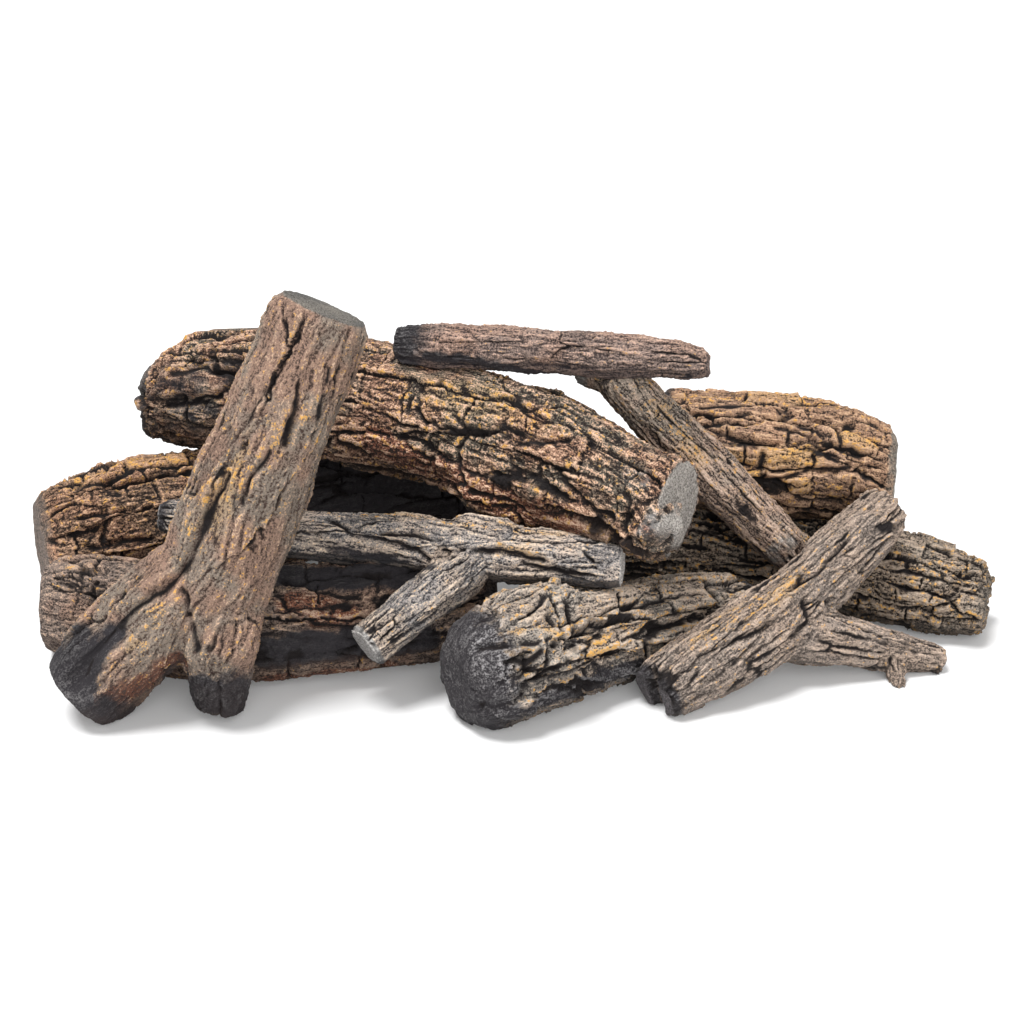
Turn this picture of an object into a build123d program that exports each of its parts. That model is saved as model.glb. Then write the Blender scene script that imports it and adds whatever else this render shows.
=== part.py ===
# Cast refractory gas log set: a pile of loose logs, each with a steel rod cast into it.
# Millimetres, +Z up, +X to the right and +Y to the back of the fireplace. The origin is on
# the hearth, under the middle of the front centre base log.
import os
from math import cos, radians, sin

from build123d import *

os.makedirs("parts", exist_ok=True)

# Room that the whole pile takes, which its places are shares of
pile_width = 950.0
pile_depth = 440.0

# How the logs meet: a moulded bed sinks into the log below by bed_bite, less the seat gap
seat_gap = 0.3
bed_bite = 3.0
pad_depth = 3.0
neighbour_gap = 4.0

# Bark: how deep the furrows lie below the crests of the ridges
plate_furrow = 4.6
ridge_furrow = 4.0
fine_furrow = 2.2
smooth_furrow = 2.6

# How unevenly the ridges lie: sideways and in depth, as shares of their spacing and depth
ridge_wander_share = 0.24
furrow_unevenness_share = 0.3

# Steel rods cast into the logs
rod_diameter = 6.0
thin_rod_diameter = 4.0

# Rear left base log, plated bark
rear_left_length = 480.0
rear_left_diameter = 142.0
rear_left_heading = 20.0

# Front left base log, bowed towards the room
front_left_length = 460.0
front_left_diameter = 112.0
front_left_heading = 1.6

# Front centre base log, with a charred and rounded near end
front_centre_length = 356.0
front_centre_diameter = 118.0
front_centre_heading = 33.0

# Right base log, knobby plates
right_length = 420.0
right_diameter = 104.0
right_heading = -20.0

# Rear right log, on top of the right base log
rear_right_length = 250.0
rear_right_diameter = 134.0

# Middle forked twig, across the two front base logs
twig_length = 472.0
twig_diameter = 55.0
twig_overhang = 12.0
twig_branch_length = 156.0
twig_branch_diameter = 47.0
knot_hole_diameter = 15.0
knot_hole_depth = 6.0

# Upper long log, across the pile
upper_length = 624.0
upper_diameter = 134.0
upper_knob_length = 66.0
upper_knob_diameter = 62.0

# Diagonal twig, leaning on the rear right log
diagonal_length = 284.0
diagonal_diameter = 55.0
diagonal_stub_length = 53.0
diagonal_stub_diameter = 27.0

# Top small log, across the upper long log and the diagonal twig
top_length = 322.0
top_diameter = 46.0

# Front left forked log, standing on two feet
fork_length = 356.0
fork_diameter = 106.0
fork_left_leg_length = 190.0
fork_left_leg_diameter = 106.0
fork_right_leg_length = 146.0
fork_right_leg_diameter = 78.0

# Front right forked log, leaning on the rear right log
prop_length = 330.0
prop_diameter = 84.0
prop_branch_length = 190.0
prop_branch_diameter = 78.0
prop_spur_length = 42.0
prop_spur_diameter = 20.0
prop_split_width = 22.0
prop_split_depth = 15.0


def bark_shares(ridge_count, furrow_share, turn):
    # Angles and radius shares round one section: crests at 1, with uneven furrows between them,
    # the whole turned by some degrees from the limb's back towards its top
    rows = []
    for k in range(2 * ridge_count):
        angle = turn + 360 * (k + ridge_wander_share * sin(1.7 * k * k)) / (2 * ridge_count)
        unevenness = 1 - furrow_unevenness_share * (1 - sin(2.6 * k + turn))
        share = 1 - (k % 2) * furrow_share * unevenness
        rows.append((radians(angle), share))
    return rows


class Limb:
    # A length of log: a straight chord, with outlines in planes square to it.
    # Each row of station_shares is: along the chord, girth, then the axis's offset to the
    # back and up, in diameters.

    def __init__(self, start, end, diameter, station_shares, ridge_count, furrow, turn=0.0):
        self.start = start
        self.end = end
        self.chord = end - start
        self.length = self.chord.length
        self.along = self.chord.normalized()
        self.back = Vector(0, 0, 1).cross(self.along).normalized()
        self.up = self.along.cross(self.back).normalized()
        self.diameter = diameter
        self.rows = station_shares
        self.outline = bark_shares(ridge_count, furrow / (diameter / 2), turn)

    def row_at(self, share):
        for low, high in zip(self.rows[:-1], self.rows[1:]):
            if share <= high[0]:
                break
        part = (share - low[0]) / (high[0] - low[0])
        return [a + (b - a) * part for a, b in zip(low, high)]

    def point(self, share):
        _, _, side, lift = self.row_at(share)
        offset = self.back * (side * self.diameter) + self.up * (lift * self.diameter)
        return self.start + self.chord * share + offset

    def radius(self, share):
        return self.row_at(share)[1] * self.diameter / 2

    def form(self):
        return self.solid(self.outline, 0)

    def bed(self):
        # What a log laid on this one is cast to: its crests without furrows, swollen by the seat gap
        return self.solid([(angle, 1) for angle, _ in self.outline], seat_gap)

    def solid(self, outline_shares, grow):
        last = len(self.rows) - 1
        with BuildPart() as solid:
            for k, (share, girth, side, lift) in enumerate(self.rows):
                stretch = grow * ((k == last) - (k == 0))
                centre = self.point(share) + self.along * stretch
                radius = girth * self.diameter / 2
                outline = []
                for angle, part in outline_shares:
                    reach = radius * part + grow
                    outline.append((reach * cos(angle), reach * sin(angle)))
                with BuildSketch(Plane(origin=centre, x_dir=self.back, z_dir=self.along)):
                    with BuildLine():
                        Polyline(*outline, close=True)
                    make_face()
            loft(ruled=True)
        return solid.part


def turned(heading, tilt=0.0):
    # Unit vector at a heading in plan, anticlockwise from +X, tilted up from level
    level = cos(radians(tilt))
    return Vector(level * cos(radians(heading)), level * sin(radians(heading)), sin(radians(tilt)))


def beside(lower, share, radius, bearing):
    # Centre of a log of this radius bedded on another's axis at share. The bearing is the
    # side it lies on: 0 on top, 90 at the back, -90 at the front.
    reach = lower.radius(share) + radius - bed_bite
    lean = radians(bearing)
    return lower.point(share) + (lower.back * sin(lean) + Vector(0, 0, 1) * cos(lean)) * reach


def laid_through(low_point, low_share, high_point, length):
    # Ends of a chord of this length that passes through both points, low_share along it
    # at the first of them
    along = (high_point - low_point).normalized()
    start = low_point - along * (low_share * length)
    return start, start + along * length


def rod_between(limb, rod_shares, diameter, grow=0.0):
    # A straight rod between two points of a limb's axis, or its bore, larger by grow
    first = limb.point(rod_shares[0])
    last = limb.point(rod_shares[1])
    middle = (first + last) * 0.5
    with BuildPart(Plane(origin=middle, z_dir=last - first)) as rod:
        Cylinder(diameter / 2 + grow, (last - first).length + 2 * grow)
    return rod.part


def split_across(limb, width, depth):
    # A V-shaped split across the limb's first end: width at its mouth, closing at depth
    with BuildPart() as split:
        with BuildSketch(Plane(origin=limb.start, x_dir=limb.back, z_dir=limb.back.cross(limb.along))):
            with BuildLine():
                Polyline((-width, -depth), (width, -depth), (0, depth), close=True)
            make_face()
        extrude(amount=limb.diameter, both=True)
    return split.part


def knot_hole(limb, share, turn, diameter, depth):
    # A blind hole towards the limb's axis, at an angle from the limb's back towards its top
    outward = limb.back * cos(radians(turn)) + limb.up * sin(radians(turn))
    with BuildPart(Plane(origin=limb.point(share) + outward * limb.radius(share), z_dir=outward)) as hole:
        Cylinder(diameter / 2, 2 * depth)
    return hole.part


def on_floor(x_share, y_share, diameter, girth):
    # A base log's axis point: its flat cast pad is pad_depth below the round of the log
    return Vector(pile_width * x_share, pile_depth * y_share, girth * diameter / 2 - pad_depth)


# Hearth, which the flat pads are cast on
with BuildPart() as hearth_block:
    with BuildSketch(Plane.XY):
        Rectangle(2 * pile_width, 2 * pile_width)
    extrude(amount=-pile_depth)
hearth = hearth_block.part


# Front centre base log: the origin lies under its middle
front_centre_station_shares = [
    (0.000, 0.46, 0.00, -0.06),
    (0.012, 0.70, 0.00, -0.06),
    (0.035, 0.86, 0.00, -0.04),
    (0.070, 0.96, 0.00, -0.02),
    (0.125, 1.01, 0.00, 0.00),
    (0.240, 1.00, 0.00, 0.00),
    (0.380, 0.95, 0.00, -0.02),
    (0.500, 0.90, 0.00, -0.04),
    (0.660, 0.80, 0.01, -0.07),
    (0.820, 0.66, 0.02, -0.13),
    (0.970, 0.54, 0.02, -0.20),
    (1.000, 0.48, 0.02, -0.22),
]
front_centre_along = turned(front_centre_heading)
front_centre_middle = Vector(0, 0, front_centre_diameter / 2 - pad_depth)
front_centre = Limb(
    front_centre_middle - front_centre_along * (front_centre_length / 2),
    front_centre_middle + front_centre_along * (front_centre_length / 2),
    front_centre_diameter,
    front_centre_station_shares,
    ridge_count=11,
    furrow=ridge_furrow,
    turn=10.0,
)

# Right base log: it passes just behind the front centre log's far end
right_station_shares = [
    (0.00, 0.84, 0.00, 0.00),
    (0.03, 0.95, 0.00, 0.00),
    (0.14, 0.98, 0.00, 0.00),
    (0.28, 0.96, 0.01, 0.00),
    (0.42, 0.98, 0.02, 0.00),
    (0.56, 1.00, 0.02, 0.00),
    (0.70, 0.98, 0.00, -0.01),
    (0.82, 0.93, -0.02, -0.04),
    (0.92, 0.86, -0.03, -0.07),
    (0.98, 0.78, -0.03, -0.10),
    (1.00, 0.64, -0.03, -0.13),
]
right_anchor_share = 0.445
right_along = turned(right_heading)
right_behind = turned(right_heading + 90)
right_reach = front_centre.radius(1) + right_diameter / 2 + neighbour_gap
right_floor = Vector(0, 0, right_diameter / 2 - pad_depth - front_centre.point(1).Z)
right_anchor = front_centre.point(1) + right_behind * right_reach + right_floor
right_start = right_anchor - right_along * (right_anchor_share * right_length)
right_base = Limb(
    right_start,
    right_start + right_along * right_length,
    right_diameter,
    right_station_shares,
    ridge_count=10,
    furrow=plate_furrow,
    turn=-11.0,
)

# Rear left base log
rear_left_place_shares = (-0.633, 0.420)
rear_left_station_shares = [
    (0.00, 0.70, 0.00, -0.09),
    (0.02, 0.82, 0.00, -0.07),
    (0.07, 0.91, 0.00, -0.04),
    (0.16, 0.98, 0.00, -0.01),
    (0.32, 1.00, 0.01, 0.00),
    (0.50, 0.99, 0.02, 0.00),
    (0.70, 0.99, 0.01, 0.00),
    (0.94, 0.95, 0.00, 0.00),
    (0.98, 0.90, 0.00, 0.00),
    (1.00, 0.80, 0.00, 0.00),
]
rear_left_start = on_floor(*rear_left_place_shares, rear_left_diameter, 1)
rear_left = Limb(
    rear_left_start,
    rear_left_start + turned(rear_left_heading) * rear_left_length,
    rear_left_diameter,
    rear_left_station_shares,
    ridge_count=11,
    furrow=plate_furrow,
    turn=10.0,
)

# Front left base log: it starts just in front of the rear left log's left end
front_left_station_shares = [
    (0.00, 0.76, 0.00, -0.04),
    (0.03, 0.89, -0.03, -0.02),
    (0.10, 0.97, -0.14, 0.00),
    (0.20, 1.00, -0.29, 0.00),
    (0.32, 0.98, -0.42, 0.00),
    (0.45, 0.97, -0.51, -0.01),
    (0.56, 0.97, -0.48, -0.01),
    (0.68, 0.99, -0.39, -0.01),
    (0.80, 0.99, -0.28, -0.01),
    (0.90, 0.96, -0.15, -0.02),
    (0.97, 0.92, -0.05, -0.03),
    (1.00, 0.82, 0.00, -0.04),
]
front_left_beside_share = 0.065
front_left_reach = (rear_left_diameter + front_left_diameter) / 2 / cos(radians(rear_left_heading))
front_left_beside = rear_left.point(front_left_beside_share)
front_left_start = Vector(
    front_left_beside.X,
    front_left_beside.Y - front_left_reach,
    front_left_diameter / 2 - pad_depth,
)
front_left = Limb(
    front_left_start,
    front_left_start + turned(front_left_heading) * front_left_length,
    front_left_diameter,
    front_left_station_shares,
    ridge_count=10,
    furrow=smooth_furrow,
    turn=10.0,
)

# Rear right log, bedded along the top of the right base log
rear_right_station_shares = [
    (0.00, 0.82, 0.00, 0.00),
    (0.03, 0.91, 0.00, 0.00),
    (0.15, 0.95, 0.00, 0.00),
    (0.35, 0.98, 0.00, 0.01),
    (0.55, 1.00, 0.00, 0.01),
    (0.72, 0.98, 0.00, 0.00),
    (0.86, 0.92, 0.00, -0.04),
    (0.96, 0.85, 0.00, -0.08),
    (1.00, 0.72, 0.00, -0.11),
]
rear_right_rest_shares = (0.18, 0.76)
rear_right_bearings = (0.0, 30.0)
rear_right_at_rest_share = 0.06
rear_right_rest_radius_share = 0.93
rear_right_radius = rear_right_diameter / 2
rear_right_start, rear_right_end = laid_through(
    beside(
        right_base,
        rear_right_rest_shares[0],
        rear_right_rest_radius_share * rear_right_radius,
        rear_right_bearings[0],
    ),
    rear_right_at_rest_share,
    beside(right_base, rear_right_rest_shares[1], rear_right_radius, rear_right_bearings[1]),
    rear_right_length,
)
rear_right = Limb(
    rear_right_start,
    rear_right_end,
    rear_right_diameter,
    rear_right_station_shares,
    ridge_count=10,
    furrow=plate_furrow,
    turn=0.0,
)

# Middle forked twig: from the front left base log to the front centre base log
twig_station_shares = [
    (0.00, 0.50, 0.00, 0.12),
    (0.02, 0.70, 0.00, 0.12),
    (0.08, 0.88, 0.00, 0.10),
    (0.22, 0.96, 0.00, 0.04),
    (0.36, 0.92, 0.02, 0.02),
    (0.50, 0.98, 0.02, 0.04),
    (0.62, 1.06, 0.00, 0.03),
    (0.74, 1.02, 0.00, 0.00),
    (0.88, 0.98, 0.00, -0.01),
    (0.97, 0.94, 0.00, 0.00),
    (1.00, 0.84, 0.00, 0.00),
]
twig_left_share = 0.76
twig_right_share = 0.50
twig_bearings = (4.0, 0.0)
twig_left_rest = beside(front_left, twig_left_share, twig_diameter / 2, twig_bearings[0])
twig_right_rest = beside(front_centre, twig_right_share, twig_diameter / 2, twig_bearings[1])
twig_start, twig_end = laid_through(
    twig_right_rest, 1 - twig_overhang / twig_length, twig_right_rest * 2 - twig_left_rest, twig_length
)
twig = Limb(
    twig_start, twig_end, twig_diameter, twig_station_shares, ridge_count=8, furrow=fine_furrow, turn=14.0
)
knot_hole_share = 0.63
knot_hole_turn = 165.0
twig_branch_share = 0.71
twig_branch_heading = 215.5
twig_branch_tilt = -23.5
twig_branch_station_shares = [
    (0.00, 0.80, 0.00, 0.00),
    (0.22, 1.16, 0.00, 0.00),
    (0.45, 1.06, 0.00, 0.03),
    (0.75, 0.98, 0.00, 0.02),
    (0.96, 1.00, 0.00, 0.00),
    (1.00, 0.90, 0.00, 0.00),
]
twig_branch_start = twig.point(twig_branch_share)
twig_branch = Limb(
    twig_branch_start,
    twig_branch_start + turned(twig_branch_heading, twig_branch_tilt) * twig_branch_length,
    twig_branch_diameter,
    twig_branch_station_shares,
    ridge_count=6,
    furrow=fine_furrow,
    turn=7.0,
)

# Upper long log: from the rear left base log to the middle twig's right end
upper_station_shares = [
    (0.00, 0.62, 0.00, -0.17),
    (0.025, 0.80, 0.02, -0.10),
    (0.07, 0.92, 0.06, -0.03),
    (0.20, 1.00, 0.15, 0.04),
    (0.32, 1.00, 0.22, 0.07),
    (0.44, 1.00, 0.26, 0.09),
    (0.58, 1.01, 0.26, 0.09),
    (0.70, 1.01, 0.21, 0.08),
    (0.79, 0.97, 0.15, 0.04),
    (0.88, 0.87, 0.07, 0.01),
    (0.97, 0.80, 0.00, -0.01),
    (0.99, 0.77, 0.00, -0.01),
    (1.00, 0.72, 0.00, -0.01),
]
upper_left_share = 0.50
upper_right_share = 0.975
upper_right_bearing = 38.0
upper_at_left_share = 0.176
upper_at_right_share = 0.868
upper_left_radius_share = 0.99
upper_right_radius_share = 0.83
upper_left_radius = upper_left_radius_share * upper_diameter / 2
upper_right_radius = upper_right_radius_share * upper_diameter / 2
upper_left_rest = beside(rear_left, upper_left_share, upper_left_radius, 0)
upper_right_rest = beside(twig, upper_right_share, upper_right_radius, upper_right_bearing)
upper_course = Limb(
    *laid_through(upper_left_rest, upper_at_left_share, upper_right_rest, upper_length),
    upper_diameter,
    upper_station_shares,
    ridge_count=11,
    furrow=ridge_furrow,
)
upper_left_drift = upper_course.point(upper_at_left_share) - upper_left_rest
upper_right_drift = upper_course.point(upper_at_right_share) - (
    upper_course.start + upper_course.chord * upper_at_right_share
)
upper = Limb(
    *laid_through(
        upper_left_rest - upper_left_drift,
        upper_at_left_share,
        upper_right_rest - upper_right_drift,
        upper_length,
    ),
    upper_diameter,
    upper_station_shares,
    ridge_count=11,
    furrow=ridge_furrow,
    turn=25.0,
)
stub_station_shares = [
    (0.00, 0.90, 0.00, 0.00),
    (0.60, 1.04, 0.00, 0.00),
    (0.88, 0.96, 0.00, 0.00),
    (1.00, 0.70, 0.00, 0.00),
]
upper_knob_share = 0.935
upper_knob_heading = -80.0
upper_knob_tilt = -14.0
upper_knob_start = upper.point(upper_knob_share)
upper_knob = Limb(
    upper_knob_start,
    upper_knob_start + turned(upper_knob_heading, upper_knob_tilt) * upper_knob_length,
    upper_knob_diameter,
    stub_station_shares,
    ridge_count=6,
    furrow=fine_furrow,
    turn=20.0,
)

# Diagonal twig: its foot is bedded on the right base log, its neck on the rear right log
diagonal_station_shares = [
    (0.00, 0.66, 0.00, 0.00),
    (0.03, 0.78, 0.00, 0.00),
    (0.14, 0.88, 0.00, 0.00),
    (0.32, 0.97, 0.00, 0.00),
    (0.54, 1.03, 0.00, 0.00),
    (0.76, 1.00, 0.00, 0.00),
    (0.95, 0.88, 0.00, 0.00),
    (1.00, 0.72, 0.00, 0.00),
]
diagonal_foot_share = 0.515
diagonal_foot_bearing = -55.0
diagonal_neck_share = 0.285
diagonal_neck_bearing = -88.0
diagonal_at_foot_share = 0.07
diagonal_foot_radius_share = 0.74
diagonal_foot_radius = diagonal_foot_radius_share * diagonal_diameter / 2
diagonal_foot = beside(right_base, diagonal_foot_share, diagonal_foot_radius, diagonal_foot_bearing)
diagonal_neck = beside(
    rear_right, diagonal_neck_share, diagonal_diameter / 2, diagonal_neck_bearing
)
diagonal_end, diagonal_start = laid_through(
    diagonal_foot, diagonal_at_foot_share, diagonal_neck, diagonal_length
)
diagonal = Limb(
    diagonal_start,
    diagonal_end,
    diagonal_diameter,
    diagonal_station_shares,
    ridge_count=8,
    furrow=fine_furrow,
    turn=-2.0,
)

diagonal_stub_share = 0.07
diagonal_stub_heading = 150.0
diagonal_stub_tilt = 8.0
diagonal_stub_start = diagonal.point(diagonal_stub_share)
diagonal_stub = Limb(
    diagonal_stub_start,
    diagonal_stub_start + turned(diagonal_stub_heading, diagonal_stub_tilt) * diagonal_stub_length,
    diagonal_stub_diameter,
    stub_station_shares,
    ridge_count=6,
    furrow=fine_furrow,
    turn=12.0,
)

# Top small log: across the upper long log and the diagonal twig's top end
top_station_shares = [
    (0.00, 0.74, 0.00, 0.00),
    (0.03, 0.90, 0.00, 0.00),
    (0.14, 1.06, 0.00, 0.00),
    (0.22, 0.98, 0.00, 0.00),
    (0.40, 1.00, 0.00, 0.00),
    (0.60, 1.02, 0.00, 0.02),
    (0.80, 0.96, 0.00, 0.01),
    (0.93, 0.84, 0.00, -0.02),
    (0.98, 0.66, 0.00, -0.04),
    (1.00, 0.48, 0.00, -0.05),
]
top_left_share = 0.545
top_left_bearing = -4.0
top_right_share = 0.10
top_right_bearing = -12.0
top_at_left_share = 0.14
top_start, top_end = laid_through(
    beside(upper, top_left_share, top_diameter / 2, top_left_bearing),
    top_at_left_share,
    beside(diagonal, top_right_share, top_diameter / 2, top_right_bearing),
    top_length,
)
top = Limb(
    top_start, top_end, top_diameter, top_station_shares, ridge_count=8, furrow=fine_furrow, turn=5.0
)

# Front left forked log: two feet on the hearth, leaning back on the front left base log
fork_rest_share = 0.41
fork_rest_bearing = -33.0
fork_rest = beside(front_left, fork_rest_share, fork_diameter / 2, fork_rest_bearing)
fork_heading = 27.0
fork_tilt = 64.0
fork_station_shares = [
    (0.00, 0.70, 0.00, 0.00),
    (0.08, 0.94, 0.00, 0.00),
    (0.20, 1.08, 0.00, 0.00),
    (0.36, 1.08, 0.00, 0.00),
    (0.52, 1.05, 0.00, 0.00),
    (0.68, 0.97, 0.00, 0.00),
    (0.84, 0.91, 0.00, 0.00),
    (0.965, 0.89, 0.00, 0.00),
    (1.00, 0.80, 0.00, 0.00),
]
fork_at_rest_share = 0.22
fork_along = turned(fork_heading, fork_tilt)
fork_start = fork_rest - fork_along * (fork_at_rest_share * fork_length)
fork = Limb(
    fork_start,
    fork_start + fork_along * fork_length,
    fork_diameter,
    fork_station_shares,
    ridge_count=10,
    furrow=smooth_furrow,
    turn=8.0,
)
fork_leg_share = 0.25
fork_left_leg_heading = 191.5
fork_left_leg_tilt = -41.5
fork_left_leg_station_shares = [
    (0.00, 0.90, 0.00, 0.00),
    (0.30, 0.98, 0.00, 0.02),
    (0.55, 0.97, 0.00, 0.03),
    (0.78, 0.93, 0.00, 0.02),
    (0.94, 0.88, 0.00, 0.00),
    (1.00, 0.80, 0.00, 0.00),
]
fork_leg_start = fork.point(fork_leg_share)
fork_left_leg = Limb(
    fork_leg_start,
    fork_leg_start + turned(fork_left_leg_heading, fork_left_leg_tilt) * fork_left_leg_length,
    fork_left_leg_diameter,
    fork_left_leg_station_shares,
    ridge_count=8,
    furrow=smooth_furrow,
    turn=4.0,
)
fork_right_leg_heading = -99.0
fork_right_leg_tilt = -77.5
fork_right_leg_station_shares = [
    (0.00, 0.80, 0.00, 0.00),
    (0.28, 1.02, 0.08, 0.16),
    (0.52, 1.00, 0.08, 0.28),
    (0.74, 0.84, 0.05, 0.18),
    (0.90, 0.72, 0.02, 0.06),
    (1.00, 0.60, 0.00, 0.00),
]
fork_right_leg = Limb(
    fork_leg_start,
    fork_leg_start + turned(fork_right_leg_heading, fork_right_leg_tilt) * fork_right_leg_length,
    fork_right_leg_diameter,
    fork_right_leg_station_shares,
    ridge_count=7,
    furrow=smooth_furrow,
    turn=16.0,
)

# Front right forked log: a stem from the hearth up to the rear right log, and a low branch
prop_station_shares = [
    (0.00, 0.66, 0.00, 0.00),
    (0.03, 0.76, -0.01, -0.01),
    (0.14, 0.87, -0.05, -0.03),
    (0.33, 0.96, -0.14, -0.11),
    (0.50, 0.94, -0.17, -0.15),
    (0.62, 0.84, -0.12, -0.12),
    (0.76, 0.77, -0.06, -0.06),
    (0.90, 0.74, -0.02, -0.02),
    (0.97, 0.68, 0.00, 0.00),
    (1.00, 0.56, 0.00, 0.00),
]
prop_foot_shares = (0.050, -0.145)
prop_rest_share = 0.93
prop_rest_bearing = -96.0
prop_at_foot_share = 0.03
prop_foot_girth_share = 0.66
prop_rest_radius_share = 0.74
prop_foot = on_floor(*prop_foot_shares, prop_diameter, prop_foot_girth_share)
prop_rest_radius = prop_rest_radius_share * prop_diameter / 2
prop_rest = beside(rear_right, prop_rest_share, prop_rest_radius, prop_rest_bearing)
prop_start, prop_end = laid_through(prop_foot, prop_at_foot_share, prop_rest, prop_length)
prop = Limb(
    prop_start, prop_end, prop_diameter, prop_station_shares, ridge_count=9, furrow=fine_furrow, turn=9.0
)

prop_branch_share = 0.42
prop_branch_heading = 7.5
prop_branch_tilt = -15.5
prop_branch_station_shares = [
    (0.00, 0.80, 0.00, 0.00),
    (0.24, 0.80, 0.00, 0.00),
    (0.42, 0.66, 0.00, 0.00),
    (0.60, 0.59, 0.00, -0.01),
    (0.80, 0.53, 0.00, -0.02),
    (0.96, 0.44, 0.00, 0.00),
    (1.00, 0.36, 0.00, 0.00),
]
prop_branch_start = prop.point(prop_branch_share)
prop_branch = Limb(
    prop_branch_start,
    prop_branch_start + turned(prop_branch_heading, prop_branch_tilt) * prop_branch_length,
    prop_branch_diameter,
    prop_branch_station_shares,
    ridge_count=7,
    furrow=fine_furrow,
    turn=3.0,
)
prop_spur_share = 0.72
prop_spur_heading = -86.0
prop_spur_tilt = -30.0
prop_spur_station_shares = [
    (0.00, 1.30, 0.00, 0.00),
    (0.60, 1.10, 0.00, 0.00),
    (1.00, 0.60, 0.00, 0.00),
]
prop_spur_start = prop_branch.point(prop_spur_share)
prop_spur = Limb(
    prop_spur_start,
    prop_spur_start + turned(prop_spur_heading, prop_spur_tilt) * prop_spur_length,
    prop_spur_diameter,
    prop_spur_station_shares,
    ridge_count=5,
    furrow=fine_furrow,
    turn=11.0,
)


# Where each log's rod runs along its axis
front_centre_rod_shares = (0.10, 0.90)
right_rod_shares = (0.10, 0.90)
rear_left_rod_shares = (0.08, 0.92)
front_left_rod_shares = (0.36, 0.92)
rear_right_rod_shares = (0.12, 0.88)
twig_rod_shares = (0.08, 0.94)
upper_rod_shares = (0.10, 0.90)
diagonal_rod_shares = (0.08, 0.92)
top_rod_shares = (0.08, 0.92)
fork_rod_shares = (0.16, 0.92)
prop_rod_shares = (0.08, 0.92)


with BuildPart() as front_centre_base_log:
    add(front_centre.form())
    add(hearth, mode=Mode.SUBTRACT)
    add(rod_between(front_centre, front_centre_rod_shares, rod_diameter, seat_gap), mode=Mode.SUBTRACT)

with BuildPart() as right_base_log:
    add(right_base.form())
    add(hearth, mode=Mode.SUBTRACT)
    add(rod_between(right_base, right_rod_shares, rod_diameter, seat_gap), mode=Mode.SUBTRACT)

with BuildPart() as rear_left_base_log:
    add(rear_left.form())
    add(hearth, mode=Mode.SUBTRACT)
    add(rod_between(rear_left, rear_left_rod_shares, rod_diameter, seat_gap), mode=Mode.SUBTRACT)

with BuildPart() as front_left_base_log:
    add(front_left.form())
    add(hearth, mode=Mode.SUBTRACT)
    add(rod_between(front_left, front_left_rod_shares, rod_diameter, seat_gap), mode=Mode.SUBTRACT)

with BuildPart() as rear_right_plated_log:
    add(rear_right.form())
    add(right_base.bed(), mode=Mode.SUBTRACT)
    add(rod_between(rear_right, rear_right_rod_shares, rod_diameter, seat_gap), mode=Mode.SUBTRACT)

with BuildPart() as middle_forked_twig:
    add(twig.form())
    add(twig_branch.form())
    add(
        knot_hole(twig, knot_hole_share, knot_hole_turn, knot_hole_diameter, knot_hole_depth),
        mode=Mode.SUBTRACT,
    )
    add(front_left.bed(), mode=Mode.SUBTRACT)
    add(front_centre.bed(), mode=Mode.SUBTRACT)
    add(rod_between(twig, twig_rod_shares, thin_rod_diameter, seat_gap), mode=Mode.SUBTRACT)

with BuildPart() as upper_long_log:
    add(upper.form())
    add(upper_knob.form())
    add(rear_left.bed(), mode=Mode.SUBTRACT)
    add(twig.bed(), mode=Mode.SUBTRACT)
    add(rear_right.bed(), mode=Mode.SUBTRACT)
    add(rod_between(upper, upper_rod_shares, rod_diameter, seat_gap), mode=Mode.SUBTRACT)

# The diagonal twig's back is cast flat below its bed on the rear right log, to lift straight off
with BuildPart(Plane(origin=rear_right.start, x_dir=rear_right.along, z_dir=rear_right.up)) as draft_block:
    with Locations((rear_right_length / 2, 0, 0)):
        Box(
            rear_right_length,
            rear_right_diameter + 2 * seat_gap,
            pile_depth,
            align=(Align.CENTER, Align.CENTER, Align.MAX),
        )

with BuildPart() as diagonal_twig:
    add(diagonal.form())
    add(diagonal_stub.form())
    add(right_base.bed(), mode=Mode.SUBTRACT)
    add(rear_right.bed(), mode=Mode.SUBTRACT)
    add(draft_block.part, mode=Mode.SUBTRACT)
    add(upper.bed(), mode=Mode.SUBTRACT)
    add(front_centre.bed(), mode=Mode.SUBTRACT)
    add(rod_between(diagonal, diagonal_rod_shares, thin_rod_diameter, seat_gap), mode=Mode.SUBTRACT)

with BuildPart() as top_small_log:
    add(top.form())
    add(upper.bed(), mode=Mode.SUBTRACT)
    add(diagonal.bed(), mode=Mode.SUBTRACT)
    add(diagonal_stub.bed(), mode=Mode.SUBTRACT)
    add(rod_between(top, top_rod_shares, thin_rod_diameter, seat_gap), mode=Mode.SUBTRACT)

with BuildPart() as front_left_forked_log:
    add(fork.form())
    add(fork_left_leg.form())
    add(fork_right_leg.form())
    add(hearth, mode=Mode.SUBTRACT)
    add(front_left.bed(), mode=Mode.SUBTRACT)
    add(twig.bed(), mode=Mode.SUBTRACT)
    add(rod_between(fork, fork_rod_shares, rod_diameter, seat_gap), mode=Mode.SUBTRACT)

with BuildPart() as front_right_forked_log:
    add(prop.form())
    add(prop_branch.form())
    add(prop_spur.form())
    add(split_across(prop, prop_split_width, prop_split_depth), mode=Mode.SUBTRACT)
    add(hearth, mode=Mode.SUBTRACT)
    add(rear_right.bed(), mode=Mode.SUBTRACT)
    add(right_base.bed(), mode=Mode.SUBTRACT)
    add(diagonal.bed(), mode=Mode.SUBTRACT)
    add(front_centre.bed(), mode=Mode.SUBTRACT)
    add(rod_between(prop, prop_rod_shares, rod_diameter, seat_gap), mode=Mode.SUBTRACT)

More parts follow.
